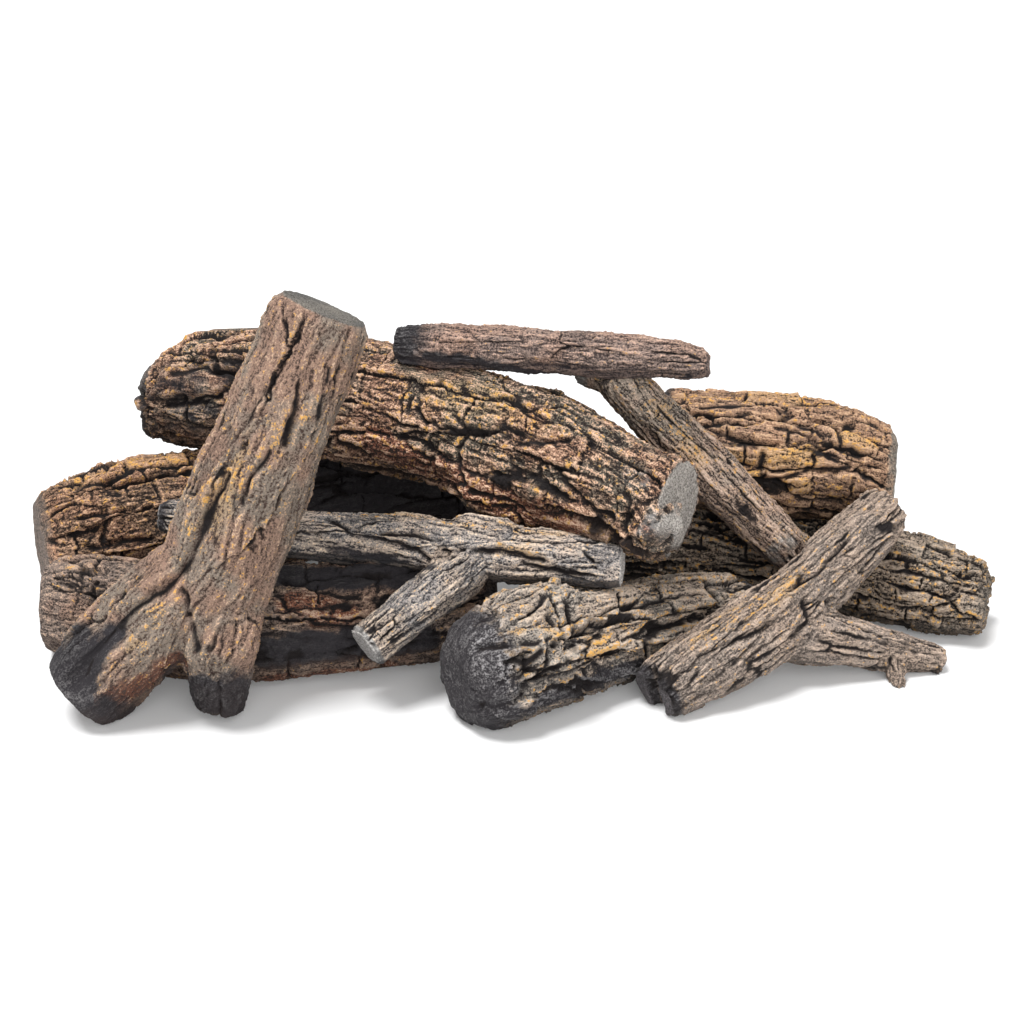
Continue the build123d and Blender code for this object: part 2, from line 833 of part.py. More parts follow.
logs = {
    "front_centre_base_log": front_centre_base_log,
    "right_base_log": right_base_log,
    "rear_left_base_log": rear_left_base_log,
    "front_left_base_log": front_left_base_log,
    "rear_right_plated_log": rear_right_plated_log,
    "middle_forked_twig": middle_forked_twig,
    "upper_long_log": upper_long_log,
    "diagonal_twig": diagonal_twig,
    "top_small_log": top_small_log,
    "front_left_forked_log": front_left_forked_log,
    "front_right_forked_log": front_right_forked_log,
}
for name, log in logs.items():
    log.part.label = name
    export_step(log.part, f"parts/{name}.step")

rods = {
    "front_centre_base_rod": (front_centre, front_centre_rod_shares, rod_diameter),
    "right_base_rod": (right_base, right_rod_shares, rod_diameter),
    "rear_left_base_rod": (rear_left, rear_left_rod_shares, rod_diameter),
    "front_left_base_rod": (front_left, front_left_rod_shares, rod_diameter),
    "rear_right_plated_rod": (rear_right, rear_right_rod_shares, rod_diameter),
    "middle_forked_rod": (twig, twig_rod_shares, thin_rod_diameter),
    "upper_long_rod": (upper, upper_rod_shares, rod_diameter),
    "diagonal_rod": (diagonal, diagonal_rod_shares, thin_rod_diameter),
    "top_small_rod": (top, top_rod_shares, thin_rod_diameter),
    "front_left_forked_rod": (fork, fork_rod_shares, rod_diameter),
    "front_right_forked_rod": (prop, prop_rod_shares, rod_diameter),
}
for name, (limb, rod_shares, diameter) in rods.items():
    rod = rod_between(limb, rod_shares, diameter)
    rod.label = name
    export_step(rod, f"parts/{name}.step")
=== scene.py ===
# Painted cast log set: bark, char and ash over the imported logs, with painted shade, painted shadow and
# painted highlights in their colour. Everything is in metres.
from math import cos, radians, sin

import bmesh
import bpy
import numpy as np
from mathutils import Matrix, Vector
from mathutils.bvhtree import BVHTree
from mathutils.noise import noise_vector, seed_set


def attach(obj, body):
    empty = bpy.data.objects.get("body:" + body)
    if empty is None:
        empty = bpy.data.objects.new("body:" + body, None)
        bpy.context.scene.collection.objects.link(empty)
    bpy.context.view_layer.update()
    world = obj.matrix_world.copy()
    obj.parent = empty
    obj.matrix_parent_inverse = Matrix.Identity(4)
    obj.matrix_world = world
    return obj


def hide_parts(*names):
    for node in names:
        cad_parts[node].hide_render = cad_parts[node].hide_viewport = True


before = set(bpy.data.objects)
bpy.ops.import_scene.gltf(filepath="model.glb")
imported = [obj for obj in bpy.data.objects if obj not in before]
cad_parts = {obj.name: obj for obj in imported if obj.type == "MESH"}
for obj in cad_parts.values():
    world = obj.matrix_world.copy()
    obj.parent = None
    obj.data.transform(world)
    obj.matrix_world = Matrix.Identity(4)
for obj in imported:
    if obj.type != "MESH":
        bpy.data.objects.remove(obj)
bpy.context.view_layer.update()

# What the camera sees, and where a pixel of the 1024 picture points
cameraSet = {
    "target": Vector((-0.097, 0.073, 0.150)),
    "distance": 2.2,
    "elevation": radians(25.0),
    "lens": 77.0,
    "sensor": 36.0,
    "pictureSize": 1024,
}
forward = Vector((0, cos(cameraSet["elevation"]), -sin(cameraSet["elevation"])))
upward = Vector((0, sin(cameraSet["elevation"]), cos(cameraSet["elevation"])))
cameraPlace = cameraSet["target"] - forward * cameraSet["distance"]


def newObject(name, data):
    piece = bpy.data.objects.new(name, data)
    bpy.context.scene.collection.objects.link(piece)
    return piece


def newMaterial(name):
    material = bpy.data.materials.new(name)
    material.use_nodes = True
    return material, material.node_tree, material.node_tree.nodes["Principled BSDF"]


def makeCamera():
    data = bpy.data.cameras.new("mainCamera")
    data.lens = cameraSet["lens"]
    data.sensor_width = cameraSet["sensor"]
    camera = newObject("mainCamera", data)
    camera.location = cameraPlace
    camera.rotation_euler = forward.to_track_quat("-Z", "Y").to_euler()
    bpy.context.scene.camera = camera


def pixelRay(pixel):
    half = cameraSet["pictureSize"] / 2
    focal = cameraSet["pictureSize"] * cameraSet["lens"] / cameraSet["sensor"]
    sideways = Vector((1, 0, 0)) * (pixel[0] - half)
    return (forward * focal + sideways + upward * (half - pixel[1])).normalized()


# Small helpers for building node trees: one that is given sockets adds its node to their tree
def treeOf(*values):
    return next(value.id_data for value in values if isinstance(value, bpy.types.NodeSocket))


def addNode(tree, kind, **settings):
    node = tree.nodes.new(kind)
    for key, value in settings.items():
        setattr(node, key, value)
    return node


def feed(socket, value):
    if isinstance(value, bpy.types.NodeSocket):
        socket.id_data.links.new(value, socket)
    else:
        socket.default_value = value


def feedNamed(node, values):
    for label, value in values.items():
        feed(node.inputs[label], value)
    return node


def feedInOrder(sockets, values):
    for socket, value in zip(sockets, values):
        feed(socket, value)


def calc(operation, *values, clamp=False):
    node = addNode(treeOf(*values), "ShaderNodeMath", operation=operation, use_clamp=clamp)
    feedInOrder(node.inputs, values)
    return node.outputs[0]


def plus(first, second):
    return calc("ADD", first, second)


def minus(first, second):
    return calc("SUBTRACT", first, second)


def times(first, second, clamp=False):
    return calc("MULTIPLY", first, second, clamp=clamp)


def timesPlus(value, factor, added):
    return calc("MULTIPLY_ADD", value, factor, added)


def vectorCalc(operation, *values):
    node = addNode(treeOf(*values), "ShaderNodeVectorMath", operation=operation)
    sockets = [node.inputs["Vector"], node.inputs["Scale"]] if operation == "SCALE" else node.inputs
    feedInOrder(sockets, values)
    return node.outputs["Value" if operation in ("LENGTH", "DOT_PRODUCT") else "Vector"]


def shifted(vector, shift):
    return vectorCalc("ADD", vector, shift)


def aroundZero(color):
    return vectorCalc("SUBTRACT", color, (0.5, 0.5, 0.5))


def channels(color):
    node = addNode(treeOf(color), "ShaderNodeSeparateXYZ")
    feed(node.inputs[0], color)
    return node.outputs


def ramp(value, low, high):
    node = addNode(treeOf(value), "ShaderNodeMapRange", interpolation_type="SMOOTHSTEP")
    return feedNamed(node, {"Value": value, "From Min": low, "From Max": high}).outputs["Result"]


def noise(vector, scale, detail=2.0, roughness=0.5):
    node = addNode(treeOf(vector), "ShaderNodeTexNoise")
    values = {"Vector": vector, "Scale": scale, "Detail": detail, "Roughness": roughness}
    return feedNamed(node, values)


def cells(vector, feature="F1"):
    node = addNode(treeOf(vector), "ShaderNodeTexVoronoi", feature=feature)
    return feedNamed(node, {"Vector": vector, "Scale": 1.0})


def blendValue(factor, first, second):
    node = addNode(treeOf(factor, first, second), "ShaderNodeMix", data_type="FLOAT")
    feedInOrder((node.inputs[0], node.inputs[2], node.inputs[3]), (factor, first, second))
    return node.outputs[0]


def blendColor(factor, first, second, mode="MIX"):
    node = addNode(treeOf(factor, first, second), "ShaderNodeMix", data_type="RGBA", blend_type=mode)
    feedInOrder((node.inputs[0], node.inputs[6], node.inputs[7]), (factor, first, second))
    return node.outputs[2]


def threeOf(x, y, z):
    node = addNode(treeOf(x, y, z), "ShaderNodeCombineXYZ")
    feedInOrder(node.inputs, (x, y, z))
    return node.outputs[0]


def makeGroup(name, kind, takes, gives):
    # What goes into the tree and what comes out, each with its name and kind
    tree = bpy.data.node_groups.new(name, kind)
    for side, sockets in (("INPUT", takes), ("OUTPUT", gives)):
        for label, socketKind in sockets:
            tree.interface.new_socket(label, in_out=side, socket_type="NodeSocket" + socketKind)
    entry = addNode(tree, "NodeGroupInput")
    leave = addNode(tree, "NodeGroupOutput")
    return tree, entry.outputs, leave.inputs


# Sizes of the bark, in metres, for the kinds in barkKinds in their order; crackShare is the share
# of plates that a crack ends. They are also the named inputs of the tree that carves the bark. Rows
# are the plates that run with the grain, cracks break them, and ridges fold over their faces.
barkKinds = ("plates", "flowing", "fine", "porous")
barkSizes = {
    "rowWidth": (0.020, 0.032, 0.014, 0.040),
    "rowLength": (0.150, 0.180, 0.120, 0.260),
    "plateLength": (0.048, 0.075, 0.050, 0.120),
    "crackShare": (0.85, 0.60, 0.35, 0.0),
    "wander": (0.014, 0.026, 0.012, 0.024),
    "ragged": (0.0055, 0.0050, 0.0032, 0.0060),
    "furrowWidth": (0.0050, 0.0045, 0.0022, 0.0034),
    "furrowDepth": (0.0065, 0.0060, 0.0022, 0.0036),
    "plateLift": (0.0075, 0.0115, 0.0028, 0.0050),
    "ridgeWidth": (0.0085, 0.0110, 0.0064, 0.0150),
    "ridgeLength": (0.034, 0.045, 0.040, 0.100),
    "ridgeDepth": (0.0024, 0.0030, 0.0019, 0.0030),
    "grainDepth": (0.0020, 0.0020, 0.0013, 0.0020),
    "pitSpacing": (0.010, 0.010, 0.008, 0.0085),
    "pitDepth": (0.0, 0.0, 0.0012, 0.0030),
    "lumpDepth": (0.004, 0.006, 0.003, 0.005),
}

# How far the whole relief is lifted, how rough a cut end is and where the relief stops, in metres
reliefLimits = {"level": -0.0004, "cutDepth": 0.005, "highest": 0.006, "deepest": -0.009}

# Scales of the noises that shape the bark and its painted skin, per metre
barkNoise = {
    "swirl": (22.0, 22.0, 12.0), "fray": 105.0, "crackShift": 70.0, "furrowWidth": 42.0,
    "worn": 28.0, "grains": 300.0, "lumps": 13.0, "cutFace": 75.0,
    "skinFray": 120.0, "skinSpecks": 560.0,
}


def makeBarkHeight():
    # Height of the bark at one point of a limb, from its coordinates across and along the grain.
    # Furrows are as wide in metres whichever way they run.
    tree, takes, gives = makeGroup(
        "barkHeight",
        "GeometryNodeTree",
        [("grain", "Vector")] + [(size, "Float") for size in (*barkSizes, "seed")],
        [(label, "Float") for label in ("height", "furrow", "tone", "pit", "ridge")],
    )
    grain = takes["grain"]
    seedShift = vectorCalc("SCALE", (7.3, 3.1, 5.7), takes["seed"])
    seeded = shifted(grain, seedShift)
    swirlAt = shifted(vectorCalc("MULTIPLY", grain, barkNoise["swirl"]), seedShift)
    swirl = aroundZero(noise(swirlAt, 1.0).outputs[1])
    bent = shifted(grain, vectorCalc("SCALE", swirl, takes["wander"]))
    fray = aroundZero(noise(seeded, barkNoise["fray"], 1.0).outputs[1])
    bent = shifted(bent, vectorCalc("SCALE", fray, takes["ragged"]))

    # Rows: cells stretched along the grain, and how far the point is from their border
    across = calc("DIVIDE", 1.0, takes["rowWidth"])
    lengthwise = calc("DIVIDE", 1.0, takes["rowLength"])
    stretch = threeOf(across, across, lengthwise)
    place = shifted(vectorCalc("MULTIPLY", bent, stretch), seedShift)
    row = cells(place)
    nextRow = cells(place, "F2")
    apart = vectorCalc("SUBTRACT", nextRow.outputs["Position"], row.outputs["Position"])
    facing = vectorCalc("NORMALIZE", apart)
    doubled = shifted(nextRow.outputs["Position"], row.outputs["Position"])
    between = vectorCalc("SCALE", doubled, 0.5)
    fromBorder = vectorCalc("DOT_PRODUCT", vectorCalc("SUBTRACT", place, between), facing)
    squeeze = vectorCalc("LENGTH", vectorCalc("MULTIPLY", facing, stretch))
    toRowEdge = calc("DIVIDE", calc("ABSOLUTE", fromBorder), squeeze)
    rowTone = channels(row.outputs["Color"])

    # Plates: each row breaks at its own places along the grain
    ragged = noise(seeded, barkNoise["crackShift"]).outputs[0]
    slipped = timesPlus(ragged, 0.012, channels(bent)[2])
    platePlace = calc("DIVIDE", slipped, takes["plateLength"])
    platePlace = plus(platePlace, times(rowTone[0], 37.0))
    plate = addNode(tree, "ShaderNodeTexVoronoi", voronoi_dimensions="1D")
    crack = addNode(tree, "ShaderNodeTexVoronoi", voronoi_dimensions="1D", feature="DISTANCE_TO_EDGE")
    for node in (plate, crack):
        feedNamed(node, {"W": platePlace, "Scale": 1.0})
    plateTone = channels(plate.outputs["Color"])
    toCrack = times(crack.outputs["Distance"], takes["plateLength"])

    patchy = noise(seeded, barkNoise["furrowWidth"], 3.0).outputs[0]
    width = times(takes["furrowWidth"], timesPlus(patchy, 2.6, -0.45))
    width = calc("MAXIMUM", width, 0.0008)
    rowFurrow = minus(1.0, ramp(toRowEdge, 0.0, width))
    crackWidth = times(width, 0.8)
    crackFurrow = minus(1.0, ramp(toCrack, 0.0, crackWidth))
    crackShown = ramp(minus(takes["crackShare"], plateTone[2]), -0.05, 0.05)
    furrow = calc("MAXIMUM", rowFurrow, times(crackFurrow, crackShown))
    wearing = noise(shifted(bent, seedShift), barkNoise["worn"]).outputs[0]
    worn = ramp(wearing, 0.32, 0.62)
    furrow = times(furrow, timesPlus(worn, 0.8, 0.2))
    cut = times(furrow, takes["furrowDepth"])

    # Plates stand higher or lower, and lean
    cellTilt = aroundZero(row.outputs["Color"])
    fromMiddle = vectorCalc("SUBTRACT", place, row.outputs["Position"])
    tilt = vectorCalc("DOT_PRODUCT", fromMiddle, cellTilt)
    toneLevel = timesPlus(plateTone[0], 0.6, times(rowTone[1], 0.4))
    stand = timesPlus(tilt, 1.6, minus(toneLevel, 1.0))
    lift = times(stand, takes["plateLift"])

    # Ridges folded between sharp creases, grains of the cast mix, and broad lumps
    ridgeAcross = calc("DIVIDE", 1.0, takes["ridgeWidth"])
    ridgeAlong = calc("DIVIDE", 1.0, takes["ridgeLength"])
    ridgeAt = vectorCalc("MULTIPLY", bent, threeOf(ridgeAcross, ridgeAcross, ridgeAlong))
    rolling = noise(shifted(ridgeAt, seedShift), 1.0, 2.0, 0.55).outputs[0]
    creased = calc("ABSOLUTE", minus(rolling, 0.5))
    ridge = calc("POWER", times(creased, 6.5, clamp=True), 0.7)
    ridges = times(ridge, takes["ridgeDepth"])
    grainy = noise(seeded, barkNoise["grains"], 2.0, 0.7).outputs[0]
    granules = times(timesPlus(grainy, 3.0, -1.9), takes["grainDepth"])
    broad = noise(seeded, barkNoise["lumps"], 1.0).outputs[0]
    lumps = times(timesPlus(broad, 2.0, -1.5), takes["lumpDepth"])

    # Pits left by bubbles, a little longer along the grain
    pitScale = calc("DIVIDE", 1.0, takes["pitSpacing"])
    pitStretch = threeOf(pitScale, pitScale, times(pitScale, 0.6))
    pitCells = cells(vectorCalc("MULTIPLY", grain, pitStretch))
    pitTone = channels(pitCells.outputs["Color"])
    pitReach = timesPlus(calc("POWER", pitTone[1], 2.5), 0.24, 0.02)
    pit = minus(1.0, ramp(pitCells.outputs["Distance"], 0.0, pitReach))
    pits = times(pit, takes["pitDepth"])

    height = plus(minus(lift, cut), plus(ridges, granules))
    height = minus(plus(height, lumps), pits)
    feedInOrder(gives, (height, furrow, toneLevel, pit, ridge))
    return tree


def makeBarkRelief(heightTree):
    # The tree that carves a whole log: bark of the nearest limb, blended at a fork into the next
    # limb's, flat on cut ends, less what the listed strokes carve
    tree, takes, gives = makeGroup(
        "barkRelief",
        "GeometryNodeTree",
        [("log", "Geometry")]
        + [(size, "Float") for size in (*barkSizes, "seed", *reliefLimits)]
        + [("finish", "Material")],
        [("log", "Geometry")],
    )

    def stored(label, kind="FLOAT"):
        node = addNode(tree, "GeometryNodeInputNamedAttribute", data_type=kind)
        return feedNamed(node, {"Name": label}).outputs["Attribute"]

    sides = []
    for label in ("grainFirst", "grainSecond"):
        bark = addNode(tree, "GeometryNodeGroup", node_tree=heightTree)
        feed(bark.inputs["grain"], stored(label, "FLOAT_VECTOR"))
        feedNamed(bark, {size: takes[size] for size in (*barkSizes, "seed")})
        sides.append(bark)
    share = stored("limbMix")
    merged = {
        label: blendValue(share, sides[0].outputs[label], sides[1].outputs[label])
        for label in ("height", "furrow", "tone", "pit", "ridge")
    }

    # The bark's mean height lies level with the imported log
    cutShare = stored("cutFace")
    smoothShare = stored("smooth")
    gauge = addNode(tree, "GeometryNodeAttributeStatistic", data_type="FLOAT", domain="POINT")
    uncut = calc("LESS_THAN", cutShare, 0.5)
    feedNamed(gauge, {"Geometry": takes["log"], "Selection": uncut, "Attribute": merged["height"]})
    centred = minus(merged["height"], gauge.outputs["Mean"])
    roughShare = minus(1.0, times(smoothShare, 0.85))
    where = addNode(tree, "GeometryNodeInputPosition").outputs[0]
    broken = noise(where, barkNoise["cutFace"], 4.0, 0.62).outputs[0]
    cutHeight = times(minus(broken, 0.5), takes["cutDepth"])
    centred = calc("MAXIMUM", calc("MINIMUM", centred, takes["highest"]), takes["deepest"])
    height = blendValue(cutShare, times(centred, roughShare), cutHeight)
    bare = minus(1.0, calc("MAXIMUM", cutShare, smoothShare))
    furrow = times(merged["furrow"], bare)
    height = minus(plus(height, takes["level"]), stored("carve"))

    log = takes["log"]
    blurred = addNode(tree, "GeometryNodeBlurAttribute", data_type="FLOAT")
    feedNamed(blurred, {"Value": height, "Iterations": 5})
    edge = minus(height, blurred.outputs[0])
    for label, value in (
        ("edge", edge),
        ("furrow", furrow),
        ("tone", merged["tone"]),
        ("pit", times(merged["pit"], bare)),
        ("ridge", merged["ridge"]),
        ("relief", height),
    ):
        store = addNode(tree, "GeometryNodeStoreNamedAttribute", data_type="FLOAT", domain="POINT")
        log = feedNamed(store, {"Geometry": log, "Name": label, "Value": value}).outputs[0]
    normal = addNode(tree, "GeometryNodeInputNormal").outputs[0]
    push = addNode(tree, "GeometryNodeSetPosition")
    offset = vectorCalc("SCALE", normal, stored("relief"))
    feedNamed(push, {"Geometry": log, "Offset": offset})
    real = addNode(tree, "GeometryNodeRealizeInstances")
    feed(real.inputs[0], push.outputs[0])
    shade = addNode(tree, "GeometryNodeSetShadeSmooth")
    feed(shade.inputs[0], real.outputs[0])
    finish = addNode(tree, "GeometryNodeSetMaterial")
    feedNamed(finish, {"Geometry": shade.outputs[0], "Material": takes["finish"]})
    feed(gives["log"], finish.outputs[0])
    return tree


# Shader groups that every log's paint uses
def makeSkin():
    # Folds along the grain and specks of the cast mix, too small for the mesh: fold is 0 in the
    # cracks and 1 on the crests
    tree, takes, gives = makeGroup(
        "barkSkin",
        "ShaderNodeTree",
        [("grain", "Vector"), ("width", "Float"), ("length", "Float")],
        [("fold", "Float"), ("speck", "Float")],
    )
    fraying = noise(takes["grain"], barkNoise["skinFray"], 1.0).outputs[1]
    bent = shifted(takes["grain"], vectorCalc("SCALE", aroundZero(fraying), 0.0045))
    across = calc("DIVIDE", 1.0, takes["width"])
    stretch = threeOf(across, across, calc("DIVIDE", 1.0, takes["length"]))
    rolling = noise(vectorCalc("MULTIPLY", bent, stretch), 1.0, 2.0, 0.6).outputs[0]
    creased = calc("ABSOLUTE", minus(rolling, 0.5))
    feed(gives["fold"], times(creased, 6.0, clamp=True))
    feed(gives["speck"], noise(takes["grain"], barkNoise["skinSpecks"], 2.0, 0.7).outputs[0])
    return tree


def makeWeathering():
    # Gives the mask of char and painted shadow, ash or rust a ragged border
    tree, takes, gives = makeGroup(
        "raggedPatch",
        "ShaderNodeTree",
        [("place", "Vector"), ("mask", "Float"), ("patchSize", "Float")],
        [("mask", "Float")],
    )
    scale = calc("DIVIDE", 1.0, takes["patchSize"])
    ragged = noise(takes["place"], scale, 4.0, 0.65).outputs[0]
    lifted = plus(takes["mask"], timesPlus(ragged, 1.3, -0.65))
    edged = ramp(lifted, 0.22, 0.78)
    feed(gives["mask"], times(edged, ramp(takes["mask"], 0.0, 0.25)))
    return tree


barkHeightTree = makeBarkHeight()
barkReliefTree = makeBarkRelief(barkHeightTree)
skinGroup = makeSkin()
raggedGroup = makeWeathering()


def placed(tree, group, **values):
    return feedNamed(addNode(tree, "ShaderNodeGroup", node_tree=group), values).outputs


# Paint that all the logs share, unless a log's own paint says otherwise: colours, sizes in metres,
# noise scales per metre, shares of a layer, and the heights between which wash and crest set in;
# the wash colour also carries painted shade, the crest colour painted highlight, and the crevice and
# underside colours are painted shade
commonPaint = {
    "creviceShade": (0.012, 0.009, 0.009),
    "charAndShadow": (0.026, 0.023, 0.026),
    "charHaze": (0.19, 0.18, 0.18),
    "ash": (0.26, 0.25, 0.24),
    "ashWhite": (0.62, 0.59, 0.56),
    "gold": (0.80, 0.44, 0.12),
    "ochre": (0.64, 0.40, 0.17),
    "rust": (0.22, 0.085, 0.050),
    "skinWidth": 0.0042, "skinLength": 0.026, "foldShare": 0.24,
    "driftScale": 16.0, "fleckScale": 150.0, "toneSpread": 0.6, "ochreCover": 0.5,
    "washAndShadeRange": (0.30, 0.50), "crestPaintAndHighlightRange": (0.56, 0.80), "pitShade": 0.0, "undersideShadeStrength": 0.75,
    "bumpStrength": 0.9, "bumpDistance": 0.0016,
}


def paintLog(name, paint, forked):
    paint = {**commonPaint, **paint}
    material, tree, surface = newMaterial(name)
    place = addNode(tree, "ShaderNodeTexCoord").outputs["Object"]

    def stored(label, output="Fac"):
        return addNode(tree, "ShaderNodeAttribute", attribute_name=label).outputs[output]

    def shade(key):
        return (*paint[key], 1.0)

    def skinOn(label):
        grain = stored(label, "Vector")
        return placed(tree, skinGroup, grain=grain, width=paint["skinWidth"], length=paint["skinLength"])

    skin = skinOn("grainFirst")
    fold, speck = skin["fold"], skin["speck"]
    if forked:
        fold = blendValue(stored("limbMix"), fold, skinOn("grainSecond")["fold"])

    def patch(label, size, shift):
        spot = shifted(place, shift)
        return placed(tree, raggedGroup, place=spot, mask=stored(label), patchSize=size)["mask"]

    charAndShadow = patch("charAndShadow", 0.020, (0.0, 0.0, 0.0))
    ash = patch("ash", 0.012, (0.2, 0.9, 0.5))
    rust = patch("rust", 0.016, (0.5, 0.1, 0.8))

    # How high each spot stands, from 0 in the creases to 1 on the crests: dark wash and painted shade lie
    # low, dry-brushed paint and painted highlight lie high
    edge = ramp(stored("edge"), -0.0016, 0.0016)
    grit = ramp(speck, 0.30, 0.70)
    high = times(stored("ridge"), 0.20)
    high = timesPlus(fold, paint["foldShare"], high)
    high = timesPlus(edge, 0.36, high)
    high = timesPlus(grit, 0.38, minus(high, 0.10))

    drift = noise(place, paint["driftScale"], 3.0, 0.6).outputs[0]
    body = blendColor(ramp(drift, 0.42, 0.58), shade("body"), shade("bodyOther"))
    body = blendColor(rust, body, shade("rust"))
    ochre = times(stored("gold"), ramp(stored("tone"), 0.50, 0.62))
    body = blendColor(times(ochre, paint["ochreCover"]), body, shade("ochre"))
    toneLight = timesPlus(stored("tone"), paint["toneSpread"], 0.70)
    body = blendColor(1.0, body, threeOf(toneLight, toneLight, toneLight), "MULTIPLY")
    # Painted shade: low spots darken towards the wash colour, which is also the real dark wash
    body = blendColor(ramp(high, *paint["washAndShadeRange"]), shade("washAndShade"), body)
    # Painted highlight: crests lighten towards the crest colour, which is also the real dry-brushed paint
    body = blendColor(ramp(high, *paint["crestPaintAndHighlightRange"]), body, shade("crestPaintAndHighlight"))
    fleckAt = shifted(place, (0.7, 0.3, 0.1))
    flecks = noise(fleckAt, paint["fleckScale"], 4.0, 0.75).outputs[0]
    wanted = timesPlus(stored("gold"), 0.10, paint["goldCover"] - 0.64)
    flecks = timesPlus(minus(edge, 0.6), 0.14, flecks)
    flecks = ramp(plus(flecks, wanted), 0.0, 0.07)
    gold = times(flecks, ramp(high, 0.46, 0.62))
    body = blendColor(gold, body, shade("gold"))
    light = ramp(high, 0.45, 0.80)
    body = blendColor(ash, body, blendColor(light, shade("ash"), shade("ashWhite")))
    haze = times(ramp(high, 0.34, 0.95), ramp(drift, 0.25, 0.75))
    body = blendColor(charAndShadow, body, blendColor(haze, shade("charAndShadow"), shade("charHaze")))
    cutBody = blendColor(ramp(drift, 0.3, 0.7), shade("cutGrey"), shade("cutOther"))
    cutSpecks = timesPlus(ramp(speck, 0.35, 0.65), 1.1, 0.45)
    cutBody = blendColor(1.0, cutBody, threeOf(cutSpecks, cutSpecks, cutSpecks), "MULTIPLY")
    body = blendColor(stored("cutFace"), body, cutBody)

    # Painted shade: furrows, sunken spots, pits and the cores of cracks and grooves are painted near
    # black
    sunk = minus(1.0, ramp(stored("edge"), -0.0026, -0.0010))
    shadow = calc("MAXIMUM", ramp(stored("furrow"), 0.35, 0.90), sunk)
    shadow = calc("MAXIMUM", shadow, times(stored("pit"), paint["pitShade"]))
    shadow = calc("MAXIMUM", shadow, stored("crack"))
    body = blendColor(shadow, body, shade("creviceShade"))
    # Painted shade: faces that turn downwards darken towards the underside colour
    undersideShade = times(stored("undersideShade"), paint["undersideShadeStrength"])
    body = blendColor(undersideShade, body, shade("undersideShadeColor"))
    feed(surface.inputs["Base Color"], body)
    feed(surface.inputs["Roughness"], timesPlus(high, -0.15, 0.95))
    feed(surface.inputs["Specular IOR Level"], 0.3)

    bump = addNode(tree, "ShaderNodeBump")
    smoothed = minus(1.0, times(stored("smooth"), 0.7))
    bumpHeight = times(timesPlus(fold, 0.7, speck), smoothed)
    values = {"Strength": paint["bumpStrength"], "Distance": paint["bumpDistance"], "Height": bumpHeight}
    feedNamed(bump, values)
    feed(surface.inputs["Normal"], bump.outputs[0])
    return material


# Shape work on a copy of a packed log
def outerShell(nodeName):
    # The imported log's mesh, merged, without the walls of the bore inside it
    source = bmesh.new()
    source.from_mesh(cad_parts[nodeName].data)
    bmesh.ops.remove_doubles(source, verts=source.verts, dist=1e-5)
    source.verts.ensure_lookup_table()
    left = set(source.verts)
    shells = []
    while left:
        shell = []
        waiting = [left.pop()]
        while waiting:
            vertex = waiting.pop()
            shell.append(vertex)
            for edge in vertex.link_edges:
                other = edge.other_vert(vertex)
                if other in left:
                    left.remove(other)
                    waiting.append(other)
        shells.append(shell)
    shells.sort(key=lambda shell: max(v.co.x for v in shell) - min(v.co.x for v in shell))
    bmesh.ops.delete(source, geom=[v for shell in shells[:-1] for v in shell], context="VERTS")
    mesh = bpy.data.meshes.new(nodeName + "Shell")
    source.to_mesh(mesh)
    source.free()
    return mesh


def evaluated(piece):
    graph = bpy.context.evaluated_depsgraph_get()
    mesh = bpy.data.meshes.new_from_object(piece.evaluated_get(graph))
    piece.modifiers.clear()
    return mesh


def readVectors(items, key):
    values = np.empty(len(items) * 3, np.float32)
    items.foreach_get(key, values)
    return values.reshape(-1, 3).astype(float)


def writeStored(mesh, label, values, kind="FLOAT"):
    layer = mesh.attributes.get(label) or mesh.attributes.new(label, kind, "POINT")
    key = "vector" if kind == "FLOAT_VECTOR" else "value"
    layer.data.foreach_set(key, values.astype(np.float32).ravel())


def smoothStep(values, low, high):
    part = np.clip((values - low) / (high - low), 0, 1)
    return part * part * (3 - 2 * part)


def rodAxis(rodName, rodShares):
    # Ends of the whole limb's chord, from the rod that lies along part of it
    points = readVectors(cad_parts[rodName].data.vertices, "co")
    middle = points.mean(0)
    along = np.linalg.svd(points - middle, full_matrices=False)[2][0]
    reach = (points - middle) @ along
    first, last = middle + along * reach.min(), middle + along * reach.max()
    if first[0] > last[0]:
        first, last = last, first
    step = (last - first) / (rodShares[1] - rodShares[0])
    return first - step * rodShares[0], last + step * (1 - rodShares[1])


def turned(heading, tilt):
    level = cos(radians(tilt))
    return np.array([level * cos(radians(heading)), level * sin(radians(heading)), sin(radians(tilt))])


def limbsOf(settings, points):
    # Start, end and radius of every limb, the stem first
    if settings.get("branches"):
        start, end = rodAxis(settings["rod"], settings["rodShares"])
    else:
        middle = points.mean(0)
        along = np.linalg.svd((points - middle)[::7], full_matrices=False)[2][0]
        along = along * np.sign(along[0])
        reach = (points - middle) @ along
        start, end = middle + along * reach.min(), middle + along * reach.max()
    limbs = [(start, end, settings["radius"])]
    for parent, share, heading, tilt, length, radius, _ in settings.get("branches", []):
        parentStart, parentEnd, _ = limbs[parent]
        root = parentStart + (parentEnd - parentStart) * share
        limbs.append((root, root + turned(heading, tilt) * length, radius))
    return limbs


def grainOf(points, limb, bowed):
    # Coordinates across and along a limb, with its bow taken out
    start, end, _ = limb
    along = (end - start) / np.linalg.norm(end - start)
    back = np.cross([0, 0, 1], along)
    back = back / np.linalg.norm(back)
    up = np.cross(along, back)
    local = (points - start) @ np.array([back, up, along]).T
    if bowed:
        for axis in (0, 1):
            local[:, axis] -= np.polyval(np.polyfit(local[:, 2], local[:, axis], 2), local[:, 2])
    return local


def reachTo(points, first, last):
    # Distance of each point from a straight stretch
    run = last - first
    part = np.clip((points - first) @ run / max(run @ run, 1e-12), 0, 1)
    return np.linalg.norm(points - first - part[:, None] * run, axis=1)


